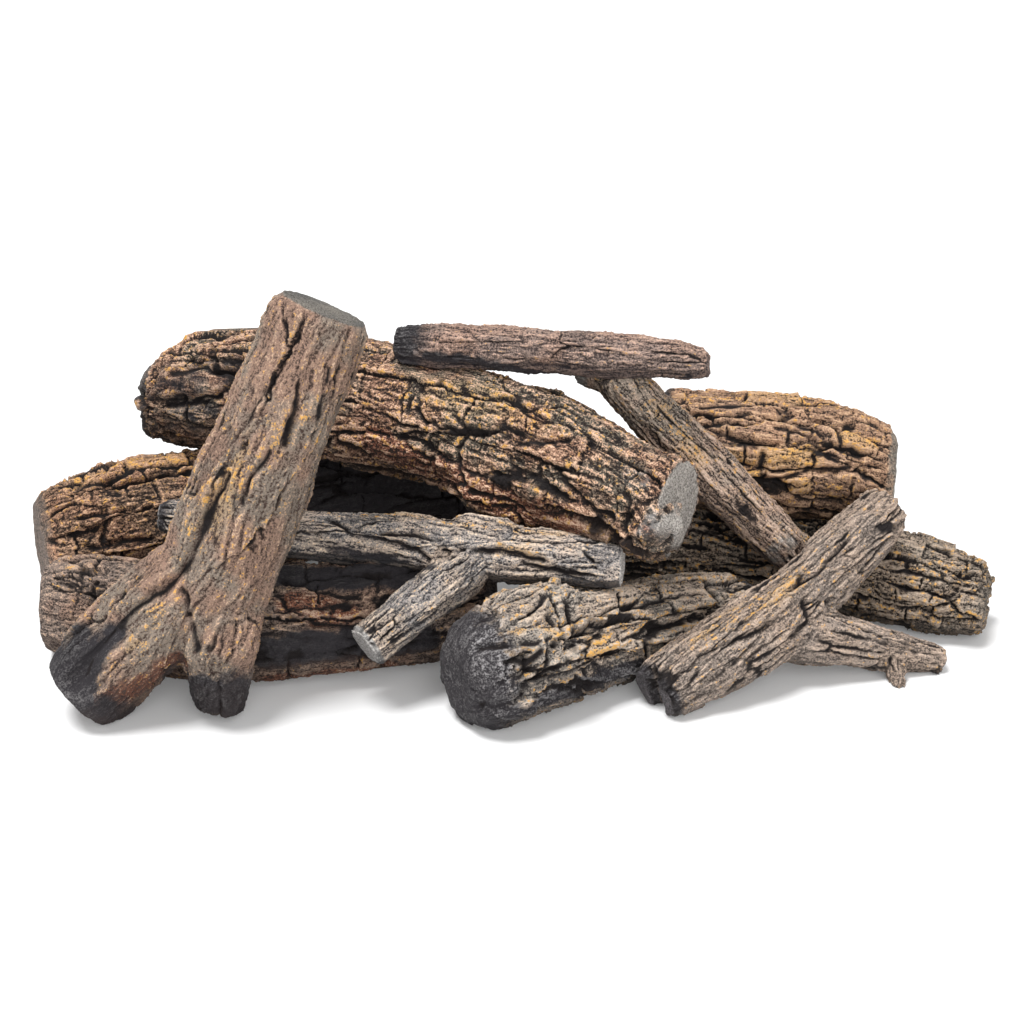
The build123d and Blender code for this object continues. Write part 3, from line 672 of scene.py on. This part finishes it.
def writeGrain(mesh, settings):
    # Stores the nearest limb's coordinates, the next limb's, and how far a point lies between the
    # two; gives the limbs, and each point's coordinates and reach to every limb
    points = readVectors(mesh.vertices, "co")
    limbs = limbsOf(settings, points)
    bowed = len(limbs) == 1
    grains = np.array([grainOf(points, limb, bowed) for limb in limbs])
    reaches = np.array([reachTo(points, limb[0], limb[1]) / limb[2] for limb in limbs])
    order = np.argsort(reaches, axis=0)
    index = np.arange(len(points))
    second = order[min(1, len(limbs) - 1)]
    gap = reaches[second, index] - reaches[order[0], index] + bowed
    writeStored(mesh, "grainFirst", grains[order[0], index], "FLOAT_VECTOR")
    writeStored(mesh, "grainSecond", grains[second, index], "FLOAT_VECTOR")
    writeStored(mesh, "limbMix", 0.5 * (1 - smoothStep(gap, 0.0, 0.35)))
    return limbs, grains, reaches


def castPixels(shell, pixels):
    # Where the pixels' rays meet the log, or the log's nearest spot for a ray that misses it
    spots = []
    for pixel in pixels:
        ray = pixelRay(pixel)
        spot = shell.ray_cast(cameraPlace, ray)[0]
        if spot is None:
            spot = shell.find_nearest(cameraPlace + ray * cameraSet["distance"])[0]
        spots.append(np.array(spot))
    return spots


def strokeReach(points, spots):
    if len(spots) == 1:
        return np.linalg.norm(points - spots[0], axis=1)
    return np.min([reachTo(points, a, b) for a, b in zip(spots[:-1], spots[1:])], axis=0)


# In the logs' settings below, everything that is drawn on a log runs between pixels of the picture:
# a groove is its width, depth, width of its core painted near black as shade and pixels, a crack only its
# pixels, a swell its width, height and pixels, and a patch its mask, width, strength and pixels. A branch
# is the number of the limb that it grows from, its share along that limb, heading, tilt, length, radius
# and end. An end says how much of it is cut, and how far char, ash or smoothness reach from it.
# Lengths are in metres and angles in degrees.
plainCrack = (0.0065, 0.0060, 0.0030)

# How strokes fray and change in width, a log's flat foot, and the rounds of smoothing of its copy
strokeEdges = {"frayScale": 70.0, "fray": 0.0035, "widthScale": 22.0, "widthSpread": 1.1, "widest": 0.5}
footPad = {"height": 0.003, "facing": -0.8, "sunk": 0.001}
relaxRounds = 8

# Without a seed, strokes fray in another way at each run
seed_set(1)


def shellTree(mesh, points):
    return BVHTree.FromPolygons([Vector(p) for p in points], [tuple(f.vertices) for f in mesh.polygons])


def addSwells(mesh, points, swells):
    # Knobs and thicker stretches of a log
    if not swells:
        return
    shell = shellTree(mesh, points)
    rise = np.zeros(len(points))
    for width, height, pixels in swells:
        reach = strokeReach(points, castPixels(shell, pixels))
        rise = rise + (1 - smoothStep(reach, 0.0, width)) * height
    moved = points + readVectors(mesh.vertex_normals, "vector") * rise[:, None]
    mesh.vertices.foreach_set("co", moved.astype(np.float32).ravel())
    mesh.update()


def layMasks(mesh, settings):
    # Everything that the relief and the paint read from a log's points
    addSwells(mesh, readVectors(mesh.vertices, "co"), settings.get("swells", []))
    points = readVectors(mesh.vertices, "co")
    normals = readVectors(mesh.vertex_normals, "vector")
    limbs, grains, reaches = writeGrain(mesh, settings)
    cut = np.zeros(len(points))
    masks = {label: np.zeros(len(points)) for label in ("charAndShadow", "ash", "gold", "rust", "smooth", "crack")}
    ends = [settings["ends"]] + [(None, branch[-1]) for branch in settings.get("branches", [])]
    for limb, finishes, local, reach in zip(limbs, ends, grains, reaches):
        length = np.linalg.norm(limb[1] - limb[0])
        along = (limb[1] - limb[0]) / length
        for side, finish in enumerate(finishes):
            if finish is None:
                continue
            inward = local[:, 2] if side == 0 else length - local[:, 2]
            facing = (normals @ along) * (1 if side else -1)
            nearEnd = reach < 1.5
            face = smoothStep(facing, 0.55, 0.85) * (inward < 0.030) * nearEnd
            cut = np.maximum(cut, face * finish.get("cut", 1.0))
            for label in ("charAndShadow", "ash", "smooth"):
                depth = finish.get(label, 0)
                if depth:
                    mask = (1 - smoothStep(inward, 0.1 * depth, depth)) * nearEnd
                    masks[label] = np.maximum(masks[label], mask)
    shell = shellTree(mesh, points)
    shaken = np.array([noise_vector(Vector(p) * strokeEdges["frayScale"]) for p in points])
    frayed = points + shaken * strokeEdges["fray"]
    swing = np.array([noise_vector(Vector(p) * strokeEdges["widthScale"])[0] for p in points])
    widest = strokeEdges["widest"]
    uneven = 1.0 + strokeEdges["widthSpread"] * np.clip(swing, -widest, widest)
    carve = np.zeros(len(points))
    strokes = settings.get("grooves", []) + [(*plainCrack, line) for line in settings.get("cracks", [])]
    for width, depth, core, pixels in strokes:
        reach = strokeReach(frayed, castPixels(shell, pixels)) / uneven
        carve = np.maximum(carve, (1 - smoothStep(reach, 0.0, width)) * depth)
        # The core of each stroke is painted near black as shade inside the crack
        masks["crack"] = np.maximum(masks["crack"], 1 - smoothStep(reach, 0.3 * core, core))
    for kind, width, strength, pixels in settings.get("patches", []):
        reach = strokeReach(frayed, castPixels(shell, pixels))
        mask = strength * (1 - smoothStep(reach, 0.2 * width, width))
        masks[kind] = np.maximum(masks[kind], mask)
    pad = (points[:, 2] < footPad["height"]) & (normals[:, 2] < footPad["facing"])
    masks["smooth"] = np.maximum(masks["smooth"], pad)
    carve = carve + pad * footPad["sunk"]
    writeStored(mesh, "carve", carve)
    writeStored(mesh, "cutFace", cut)
    for label, mask in masks.items():
        writeStored(mesh, label, mask)
    # Painted shade: a mask of the faces that turn downwards
    writeStored(mesh, "undersideShade", 1 - smoothStep(normals[:, 2], -0.75, 0.05))


def makeLog(name, settings):
    shell = newObject(name, outerShell(settings["node"]))
    remesh = shell.modifiers.new("remesh", "REMESH")
    remesh.mode = "VOXEL"
    remesh.voxel_size = settings["voxel"]
    relax = shell.modifiers.new("relax", "SMOOTH")
    relax.iterations = relaxRounds
    shell.data = evaluated(shell)
    layMasks(shell.data, settings)

    relief = shell.modifiers.new("bark", "NODES")
    relief.node_group = barkReliefTree
    kind = barkKinds.index(settings["bark"])
    sizes = {size: values[kind] for size, values in barkSizes.items()}
    sizes.update(settings.get("barkChanges", {}), seed=settings["seed"], **reliefLimits)
    sizes["finish"] = paintLog(name + "Paint", settings["paint"], bool(settings.get("branches")))
    for item in barkReliefTree.interface.items_tree:
        if item.in_out == "INPUT" and item.name in sizes:
            relief[item.identifier] = sizes[item.name]
    shell.data = evaluated(shell)
    writeGrain(shell.data, settings)
    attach(shell, settings["body"])
    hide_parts(settings["node"])
    print(name, len(shell.data.polygons), "faces")
    return shell


frontLeftFork = {
    "node": "front_left_forked_log", "body": "front_left_forked", "slot": "porous_bark_tan",
    "rod": "front_left_forked_rod", "rodShares": (0.16, 0.92), "radius": 0.053,
    "bark": "porous", "seed": 1.0, "voxel": 0.0017,
    "ends": (None, {"cut": 1.0, "smooth": 0.012}),
    "branches": [
        (0, 0.25, 191.5, -41.5, 0.190, 0.050, {"charAndShadow": 0.060, "smooth": 0.030, "cut": 0.6}),
        (0, 0.25, -99.0, -77.5, 0.146, 0.036, {"charAndShadow": 0.085, "cut": 0.3}),
    ],
    "grooves": [
        (0.014, 0.009, 0.0045,
         [(227, 475), (209, 508), (193, 547), (184, 567), (163, 590), (141, 604), (115, 627)]),
        (0.009, 0.006, 0.004, [(270, 452), (250, 478), (241, 504)]),
        (0.007, 0.006, 0.004, [(299, 385), (293, 415), (284, 445)]),
        (0.009, 0.006, 0.004, [(181, 592), (190, 618), (194, 650)]),
        (0.028, 0.013, 0.002, [(108, 632), (92, 652), (78, 680)]),
        (0.008, 0.003, 0.002, [(268, 390), (246, 423), (219, 460)]),
        (0.008, 0.003, 0.002, [(150, 566), (118, 600)]),
        (0.006, 0.003, 0.0025, [(330, 370), (318, 420)]),
    ],
    "patches": [
        ("smooth", 0.024, 1.0, [(108, 632), (92, 652), (78, 680)]),
        ("gold", 0.030, 0.7, [(292, 420), (225, 480), (200, 530)]),
        ("gold", 0.016, 0.8, [(158, 612), (138, 650)]),
        ("rust", 0.030, 0.8, [(170, 665), (140, 690), (100, 705)]),
        ("charAndShadow", 0.032, 1.0, [(75, 640), (62, 670), (80, 705)]),
        ("charAndShadow", 0.026, 1.0, [(108, 632), (92, 652), (78, 680)]),
        ("charAndShadow", 0.034, 1.0, [(205, 690), (225, 700), (240, 690)]),
    ],
    "paint": {
        "body": (0.397, 0.256, 0.189), "bodyOther": (0.320, 0.262, 0.211), "crestPaintAndHighlight": (0.675, 0.463, 0.325),
        "washAndShade": (0.085, 0.055, 0.045), "goldCover": 0.06, "pitShade": 0.95,
        "undersideShadeColor": (0.03, 0.02, 0.018),
        "cutGrey": (0.190, 0.172, 0.148), "cutOther": (0.100, 0.096, 0.090),
        "toneSpread": 0.3, "washAndShadeRange": (0.22, 0.44), "foldShare": 0.14, "skinLength": 0.020,
    },
}
upperLong = {
    "node": "upper_long_log", "body": "upper_long", "slot": "ridged_bark_brown", "radius": 0.067,
    "bark": "flowing", "seed": 2.0, "voxel": 0.0020,
    "ends": ({"charAndShadow": 0.014, "cut": 0.3}, {"cut": 1.0, "ash": 0.008}),
    "cracks": [
        [(413, 397), (408, 408), (431, 422), (462, 434)],
        [(462, 434), (455, 451), (457, 472), (464, 484)],
        [(337, 441), (361, 451), (387, 467), (408, 474), (429, 479), (462, 486)],
        [(519, 444), (542, 444), (568, 441)],
        [(455, 415), (471, 430), (495, 432), (519, 437)],
        [(464, 392), (495, 399), (526, 406), (566, 408)],
        [(471, 491), (509, 503), (533, 510), (566, 515), (610, 530)],
        [(556, 467), (566, 486), (585, 505), (608, 519)],
        [(396, 491), (424, 500), (471, 503), (514, 510)],
        [(140, 398), (164, 402), (193, 400), (234, 394)],
        [(170, 351), (193, 360), (244, 360)],
        [(174, 374), (205, 370), (234, 372)],
        [(590, 440), (620, 455), (650, 470)],
        [(630, 505), (622, 525), (630, 545)],
    ],
    "grooves": [
        (0.008, 0.005, 0.0035, [(634, 550), (626, 532), (630, 512), (646, 502), (664, 506)]),
    ],
    "swells": [
        (0.042, 0.017, [(465, 514), (490, 519), (515, 524)]),
        (0.026, 0.006, [(652, 528)]),
    ],
    "patches": [
        ("rust", 0.028, 1.0, [(340, 465), (420, 490), (500, 505), (570, 520)]),
        ("ash", 0.020, 0.45, [(632, 470), (640, 480)]),
        ("ash", 0.030, 0.50, [(652, 528)]),
        ("rust", 0.008, 1.0, [(648, 530)]),
        ("smooth", 0.026, 0.6, [(652, 528)]),
        ("gold", 0.030, 0.4, [(400, 395), (480, 400), (560, 420)]),
        ("charAndShadow", 0.095, 0.46, [(150, 350), (150, 420)]),
    ],
    "paint": {
        "body": (0.284, 0.155, 0.101), "bodyOther": (0.155, 0.135, 0.105), "crestPaintAndHighlight": (0.840, 0.560, 0.390),
        "washAndShade": (0.022, 0.015, 0.013), "goldCover": 0.055, "undersideShadeColor": (0.020, 0.011, 0.008),
        "cutGrey": (0.450, 0.413, 0.375), "cutOther": (0.312, 0.288, 0.264), "washAndShadeRange": (0.34, 0.54),
    },
}
rearLeftBase = {
    "node": "rear_left_base_log", "body": "base_logs", "slot": "plated_bark_golden", "radius": 0.071,
    "bark": "plates", "seed": 3.0, "voxel": 0.0020,
    "barkChanges": {
        "rowWidth": 0.027, "plateLength": 0.070, "furrowDepth": 0.008, "ridgeWidth": 0.012,
        "ridgeDepth": 0.0016,
    },
    "cracks": [
        [(62, 484), (91, 476), (132, 464), (164, 457)],
        [(123, 484), (132, 496)],
        [(134, 482), (172, 470), (191, 464)],
        [(41, 527), (78, 517), (125, 511), (151, 506)],
        [(67, 490), (90, 486), (123, 484)],
        [(51, 543), (99, 548), (151, 538)],
    ],
    "swells": [(0.040, 0.014, [(470, 508)])],
    "ends": ({"cut": 0.8, "smooth": 0.014}, {"cut": 1.0}),
    "patches": [
        ("gold", 0.022, 0.5, [(70, 485), (120, 468), (180, 458)]),
        # Painted shadow: a near-black char patch where the upper log shades this one
        ("charAndShadow", 0.085, 1.0, [(300, 488), (380, 500), (460, 512)]),
    ],
    "paint": {
        # The dark char haze keeps that painted shadow near black
        "charHaze": (0.060, 0.056, 0.056),
        "body": (0.310, 0.168, 0.106), "bodyOther": (0.210, 0.132, 0.088), "crestPaintAndHighlight": (0.720, 0.450, 0.285),
        "washAndShade": (0.014, 0.009, 0.007), "goldCover": 0.055, "undersideShadeColor": (0.012, 0.009, 0.008),
        "cutGrey": (0.163, 0.138, 0.119), "cutOther": (0.084, 0.072, 0.066), "washAndShadeRange": (0.32, 0.52),
    },
}
frontLeftBase = {
    "node": "front_left_base_log", "body": "base_logs", "slot": "plated_bark_brown", "radius": 0.056,
    "bark": "plates", "seed": 4.0, "voxel": 0.0018,
    "barkChanges": {"rowWidth": 0.026, "plateLength": 0.065, "ridgeWidth": 0.012, "ridgeDepth": 0.0018},
    "cracks": [
        [(272, 590), (290, 610), (314, 622), (357, 627)],
        [(283, 580), (320, 590), (357, 596)],
        [(75, 560), (95, 580), (88, 605)],
    ],
    "swells": [(0.034, 0.010, [(290, 568), (340, 570), (400, 572), (470, 570)])],
    "ends": ({"cut": 0.5, "smooth": 0.030}, {"cut": 1.0, "charAndShadow": 0.03}),
    "patches": [
        ("charAndShadow", 0.032, 1.0, [(265, 650), (310, 648), (350, 645), (420, 640)]),
        # Painted shadow: a near-black char patch where the twig above shades this log
        ("charAndShadow", 0.026, 1.0, [(280, 574), (340, 576), (420, 576)]),
        ("smooth", 0.030, 1.0, [(50, 610), (60, 640)]),
        ("rust", 0.014, 1.0, [(270, 678), (330, 674), (390, 668)]),
        ("rust", 0.030, 0.7, [(290, 606), (345, 612)]),
    ],
    "paint": {
        # The dark char haze keeps the char and the painted shadow near black
        "charHaze": (0.060, 0.056, 0.056),
        "body": (0.300, 0.194, 0.144), "bodyOther": (0.213, 0.163, 0.135), "crestPaintAndHighlight": (0.575, 0.400, 0.288),
        "washAndShade": (0.032, 0.023, 0.020), "goldCover": 0.02, "undersideShadeColor": (0.03, 0.016, 0.012),
        "cutGrey": (0.213, 0.175, 0.150), "cutOther": (0.120, 0.102, 0.096),
    },
}
frontCentreBase = {
    "node": "front_centre_base_log", "body": "base_logs", "slot": "plated_bark_grey", "radius": 0.059,
    "bark": "flowing", "seed": 5.0, "voxel": 0.0017,
    "barkChanges": {"rowWidth": 0.024, "plateLength": 0.060, "ridgeWidth": 0.010, "ridgeDepth": 0.0024},
    "grooves": [
        (0.009, 0.009, 0.0045, [(571, 605), (575, 632), (602, 631)]),
        (0.008, 0.008, 0.0045, [(550, 618), (561, 629)]),
        (0.009, 0.007, 0.005, [(506, 662), (526, 663), (540, 653)]),
        (0.010, 0.007, 0.004, [(478, 708), (533, 684), (585, 668), (628, 650)]),
    ],
    "cracks": [
        [(478, 648), (500, 645), (535, 644)],
        [(620, 610), (660, 600), (700, 596)],
        [(545, 640), (548, 660), (540, 680)],
        [(625, 640), (655, 628), (690, 622)],
    ],
    "swells": [
        (0.034, 0.012, [(478, 606), (510, 600), (550, 594)]),
        (0.024, 0.006, [(500, 592), (520, 590)]),
    ],
    "ends": ({"charAndShadow": 0.072, "smooth": 0.055, "cut": 0.0}, {"cut": 1.0, "charAndShadow": 0.02}),
    "patches": [
        ("charAndShadow", 0.026, 1.0, [(450, 640), (452, 670), (460, 705), (480, 715)]),
        ("charAndShadow", 0.014, 1.0, [(490, 712), (560, 692), (640, 668)]),
        ("gold", 0.007, 1.0, [(495, 641), (520, 631)]),
        ("gold", 0.007, 1.0, [(497, 656), (523, 653)]),
        ("gold", 0.007, 1.0, [(581, 661), (619, 646)]),
        ("gold", 0.007, 1.0, [(533, 624), (554, 637)]),
        ("gold", 0.007, 1.0, [(619, 622), (631, 629), (654, 625)]),
        ("gold", 0.007, 1.0, [(592, 646), (609, 639)]),
    ],
    "paint": {
        "body": (0.470, 0.375, 0.300), "bodyOther": (0.340, 0.300, 0.260), "crestPaintAndHighlight": (0.720, 0.580, 0.460),
        "washAndShade": (0.055, 0.048, 0.045), "goldCover": 0.065, "undersideShadeColor": (0.020, 0.018, 0.020),
        "charHaze": (0.42, 0.40, 0.40),
        "cutGrey": (0.112, 0.100, 0.100), "cutOther": (0.060, 0.060, 0.060),
    },
}
rightBase = {
    "node": "right_base_log", "body": "base_logs", "slot": "plated_bark_grey", "radius": 0.052,
    "bark": "flowing", "seed": 6.0, "voxel": 0.0017,
    "barkChanges": {"rowWidth": 0.019, "plateLength": 0.045, "ridgeWidth": 0.009, "plateLift": 0.009},
    "ends": ({"cut": 1.0, "charAndShadow": 0.02}, {"cut": 0.4}),
    "paint": {
        "body": (0.290, 0.224, 0.170), "bodyOther": (0.205, 0.172, 0.138), "crestPaintAndHighlight": (0.520, 0.410, 0.318),
        "washAndShade": (0.018, 0.014, 0.012), "goldCover": 0.065, "undersideShadeColor": (0.020, 0.017, 0.015),
        "cutGrey": (0.188, 0.150, 0.125), "cutOther": (0.096, 0.084, 0.072), "washAndShadeRange": (0.32, 0.52),
    },
}
rearRightPlated = {
    "node": "rear_right_plated_log", "body": "rear_right", "slot": "plated_bark_golden", "radius": 0.067,
    "bark": "plates", "seed": 7.0, "voxel": 0.0017,
    "barkChanges": {
        "rowWidth": 0.020, "plateLength": 0.060, "furrowDepth": 0.0075, "ridgeWidth": 0.011,
        "ridgeDepth": 0.0014, "grainDepth": 0.0014,
    },
    "cracks": [
        [(703, 429), (756, 443), (818, 443), (862, 456)],
        [(763, 452), (763, 480)],
        [(818, 423), (838, 427), (840, 447)],
        [(739, 416), (792, 423), (831, 438)],
        [(740, 476), (770, 482), (805, 470), (850, 468)],
        [(774, 487), (805, 500), (840, 503)],
        [(700, 408), (760, 405), (820, 408)],
    ],
    "ends": ({"cut": 1.0, "charAndShadow": 0.02}, {"cut": 1.0, "smooth": 0.010}),
    "patches": [
        ("gold", 0.020, 1.0, [(768, 458), (812, 456)]),
        ("gold", 0.016, 1.0, [(730, 460), (755, 472)]),
        ("gold", 0.020, 1.0, [(845, 435), (870, 440)]),
        ("gold", 0.016, 0.9, [(790, 484), (840, 492)]),
        ("gold", 0.020, 0.7, [(690, 398), (760, 398), (840, 408)]),
    ],
    "paint": {
        "body": (0.375, 0.222, 0.140), "bodyOther": (0.325, 0.200, 0.135), "crestPaintAndHighlight": (0.690, 0.455, 0.290),
        "washAndShade": (0.030, 0.020, 0.016), "goldCover": 0.035, "undersideShadeColor": (0.020, 0.014, 0.010),
        "cutGrey": (0.275, 0.250, 0.213), "cutOther": (0.180, 0.168, 0.144),
    },
}
middleTwig = {
    "node": "middle_forked_twig", "body": "middle_twig", "slot": "ash_grey_bark",
    "rod": "middle_forked_rod", "rodShares": (0.08, 0.94), "radius": 0.0275,
    "bark": "fine", "seed": 8.0, "voxel": 0.0013,
    "ends": ({"cut": 0.6, "charAndShadow": 0.020}, {"cut": 1.0, "smooth": 0.024}),
    "branches": [
        (0, 0.71, 215.5, -23.5, 0.156, 0.0235, {"cut": 1.0, "ash": 0.010}),
    ],
    "swells": [(0.026, 0.009, [(470, 524), (500, 527)])],
    "grooves": [
        (0.009, 0.002, 0.008, [(450, 557)]),
        (0.006, 0.005, 0.003, [(522, 563), (560, 572), (594, 578)]),
        (0.005, 0.005, 0.004, [(585, 553), (592, 562)]),
    ],
    "cracks": [
        [(330, 519), (353, 533), (401, 545), (429, 559)],
        [(443, 552), (495, 552), (542, 559)],
        [(380, 530), (420, 534), (440, 540)],
    ],
    "patches": [
        ("gold", 0.010, 1.0, [(330, 512), (400, 516), (470, 524), (560, 534)]),
        ("gold", 0.008, 1.0, [(500, 552), (530, 553)]),
        ("charAndShadow", 0.012, 0.8, [(330, 550), (380, 560), (430, 566)]),
        ("charAndShadow", 0.014, 0.8, [(490, 590), (540, 596), (580, 596)]),
    ],
    "paint": {
        "body": (0.520, 0.420, 0.345), "bodyOther": (0.310, 0.285, 0.272), "crestPaintAndHighlight": (0.860, 0.690, 0.530),
        "washAndShade": (0.050, 0.047, 0.050), "goldCover": 0.02, "undersideShadeColor": (0.030, 0.029, 0.032),
        "cutGrey": (0.660, 0.630, 0.600), "cutOther": (0.480, 0.460, 0.440),
        "pitShade": 0.8, "undersideShadeStrength": 0.9,
    },
}
diagonalTwig = {
    "node": "diagonal_twig", "body": "diagonal", "slot": "fine_bark_brown",
    "rod": "diagonal_rod", "rodShares": (0.08, 0.92), "radius": 0.0275,
    "bark": "fine", "seed": 9.0, "voxel": 0.0013,
    "ends": ({"cut": 0.6}, {"cut": 0.3}),
    "branches": [
        (0, 0.07, 150.0, 8.0, 0.053, 0.0135, {"cut": 0.5, "ash": 0.030}),
    ],
    "patches": [
        ("gold", 0.016, 0.7, [(660, 410), (700, 460)]),
        ("ash", 0.026, 0.5, [(770, 560), (785, 545)]),
    ],
    "paint": {
        "body": (0.490, 0.345, 0.265), "bodyOther": (0.360, 0.300, 0.245), "crestPaintAndHighlight": (0.780, 0.590, 0.460),
        "washAndShade": (0.040, 0.030, 0.028), "goldCover": 0.075, "undersideShadeColor": (0.035, 0.028, 0.026),
        "pitShade": 0.7, "cutGrey": (0.200, 0.175, 0.163), "cutOther": (0.120, 0.108, 0.108),
    },
}
topSmall = {
    "node": "top_small_log", "body": "top_small", "slot": "fine_bark_brown", "radius": 0.023,
    "bark": "fine", "seed": 10.0, "voxel": 0.0012,
    "ends": ({"cut": 1.0, "charAndShadow": 0.060}, {"cut": 0.5}),
    "swells": [(0.014, 0.005, [(483, 356)])],
    "patches": [
        ("charAndShadow", 0.012, 0.9, [(420, 372), (480, 376), (540, 376)]),
        ("charAndShadow", 0.014, 0.9, [(480, 362)]),
    ],
    "paint": {
        "body": (0.351, 0.230, 0.178), "bodyOther": (0.284, 0.209, 0.176), "crestPaintAndHighlight": (0.650, 0.438, 0.338),
        "washAndShade": (0.058, 0.042, 0.040), "goldCover": 0.02, "undersideShadeColor": (0.035, 0.030, 0.035),
        "pitShade": 0.6, "cutGrey": (0.112, 0.094, 0.100), "cutOther": (0.060, 0.054, 0.060),
    },
}
frontRightFork = {
    "node": "front_right_forked_log", "body": "front_right_forked", "slot": "fine_bark_brown",
    "rod": "front_right_forked_rod", "rodShares": (0.08, 0.92), "radius": 0.038,
    "bark": "fine", "barkChanges": {"rowWidth": 0.012, "furrowWidth": 0.0034},
    "seed": 11.0, "voxel": 0.0014,
    "ends": ({"cut": 1.0, "charAndShadow": 0.018}, {"cut": 0.6}),
    "branches": [
        (0, 0.42, 7.5, -15.5, 0.190, 0.026, {"cut": 0.7}),
        (1, 0.72, -86.0, -30.0, 0.042, 0.010, None),
    ],
    "grooves": [
        (0.010, 0.003, 0.006, [(648, 652), (658, 675), (672, 703)]),
    ],
    "cracks": [
        [(805, 602), (809, 620), (796, 637)],
        [(831, 602), (867, 620), (898, 637)],
        [(700, 655), (740, 640), (770, 625)],
        [(790, 590), (820, 570), (845, 540)],
    ],
    "patches": [
        ("gold", 0.022, 0.9, [(700, 640), (760, 600), (800, 575)]),
    ],
    "paint": {
        "body": (0.391, 0.299, 0.236), "bodyOther": (0.310, 0.253, 0.213), "crestPaintAndHighlight": (0.644, 0.494, 0.391),
        "washAndShade": (0.090, 0.072, 0.062), "goldCover": 0.04, "undersideShadeColor": (0.06, 0.050, 0.045),
        "cutGrey": (0.138, 0.125, 0.131), "cutOther": (0.072, 0.066, 0.072),
        "pitShade": 0.6, "undersideShadeStrength": 0.5,
    },
}

makeCamera()
print("camera done")
logs = {
    "frontLeftForkedBark": frontLeftFork,
    "upperLongBark": upperLong,
    "rearLeftBaseBark": rearLeftBase,
    "frontLeftBaseBark": frontLeftBase,
    "frontCentreBaseBark": frontCentreBase,
    "rightBaseBark": rightBase,
    "rearRightPlatedBark": rearRightPlated,
    "middleTwigBark": middleTwig,
    "diagonalTwigBark": diagonalTwig,
    "topSmallBark": topSmall,
    "frontRightForkedBark": frontRightFork,
}
for logName, logSettings in logs.items():
    makeLog(logName, logSettings)
print("logs done")


# Steel of the rods inside the logs
def makeRodSteel():
    material, tree, surface = newMaterial("drawnSteel")
    place = addNode(tree, "ShaderNodeTexCoord").outputs["Object"]
    scratches = noise(vectorCalc("MULTIPLY", place, (1.0, 1.0, 0.1)), 900.0).outputs[0]
    color = blendColor(scratches, (0.32, 0.31, 0.30, 1), (0.45, 0.44, 0.43, 1))
    roughness = timesPlus(scratches, 0.3, 0.25)
    feedNamed(surface, {"Base Color": color, "Roughness": roughness, "Metallic": 1.0})
    return material


rodSteel = makeRodSteel()
for nodeName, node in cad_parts.items():
    if nodeName.endswith("_rod"):
        node.data.materials.clear()
        node.data.materials.append(rodSteel)
print("rods done")

# Floor, world and lamp
stageSet = {
    "floorSize": 14.0,
    "floorColor": 0.90,
    "floorGlow": 0.10,
    "skyStrength": 0.36,
    "suns": {
        "softKey": {"strength": 2.9, "spread": radians(22.0), "from": Vector((-0.25, -0.10, 1.0))},
        "frontFill": {"strength": 1.35, "spread": radians(50.0), "from": Vector((0.30, -1.0, 0.55))},
    },
}


def makeFloor():
    half = stageSet["floorSize"] / 2
    mesh = bpy.data.meshes.new("paleFloor")
    corners = [(-half, -half, 0), (half, -half, 0), (half, half, 0), (-half, half, 0)]
    mesh.from_pydata(corners, [], [(0, 1, 2, 3)])
    floor = newObject("paleFloor", mesh)
    material, tree, surface = newMaterial("paleFloor")
    path = addNode(tree, "ShaderNodeLightPath")
    feedNamed(surface, {
        "Base Color": (*[stageSet["floorColor"]] * 3, 1),
        "Roughness": 0.9,
        "Specular IOR Level": 0.1,
        "Emission Color": (1, 1, 1, 1),
        "Emission Strength": times(path.outputs["Is Camera Ray"], stageSet["floorGlow"]),
    })
    mesh.materials.append(material)


def makeLight():
    world = bpy.data.worlds.new("studio")
    bpy.context.scene.world = world
    world.use_nodes = True
    tree = world.node_tree
    background = tree.nodes["Background"]
    background.inputs["Color"].default_value = (1, 1, 1, 1)
    path = addNode(tree, "ShaderNodeLightPath")
    seen = calc("MAXIMUM", path.outputs["Is Camera Ray"], path.outputs["Is Glossy Ray"])
    seen = calc("MAXIMUM", seen, path.outputs["Is Transmission Ray"])
    feed(background.inputs["Strength"], blendValue(seen, stageSet["skyStrength"], 1.0))
    for name, settings in stageSet["suns"].items():
        lamp = bpy.data.lights.new(name, "SUN")
        lamp.energy = settings["strength"]
        lamp.angle = settings["spread"]
        newObject(name, lamp).rotation_euler = settings["from"].to_track_quat("Z", "Y").to_euler()


makeFloor()
makeLight()
bpy.context.scene.view_settings.view_transform = "Standard"
print("stage done")
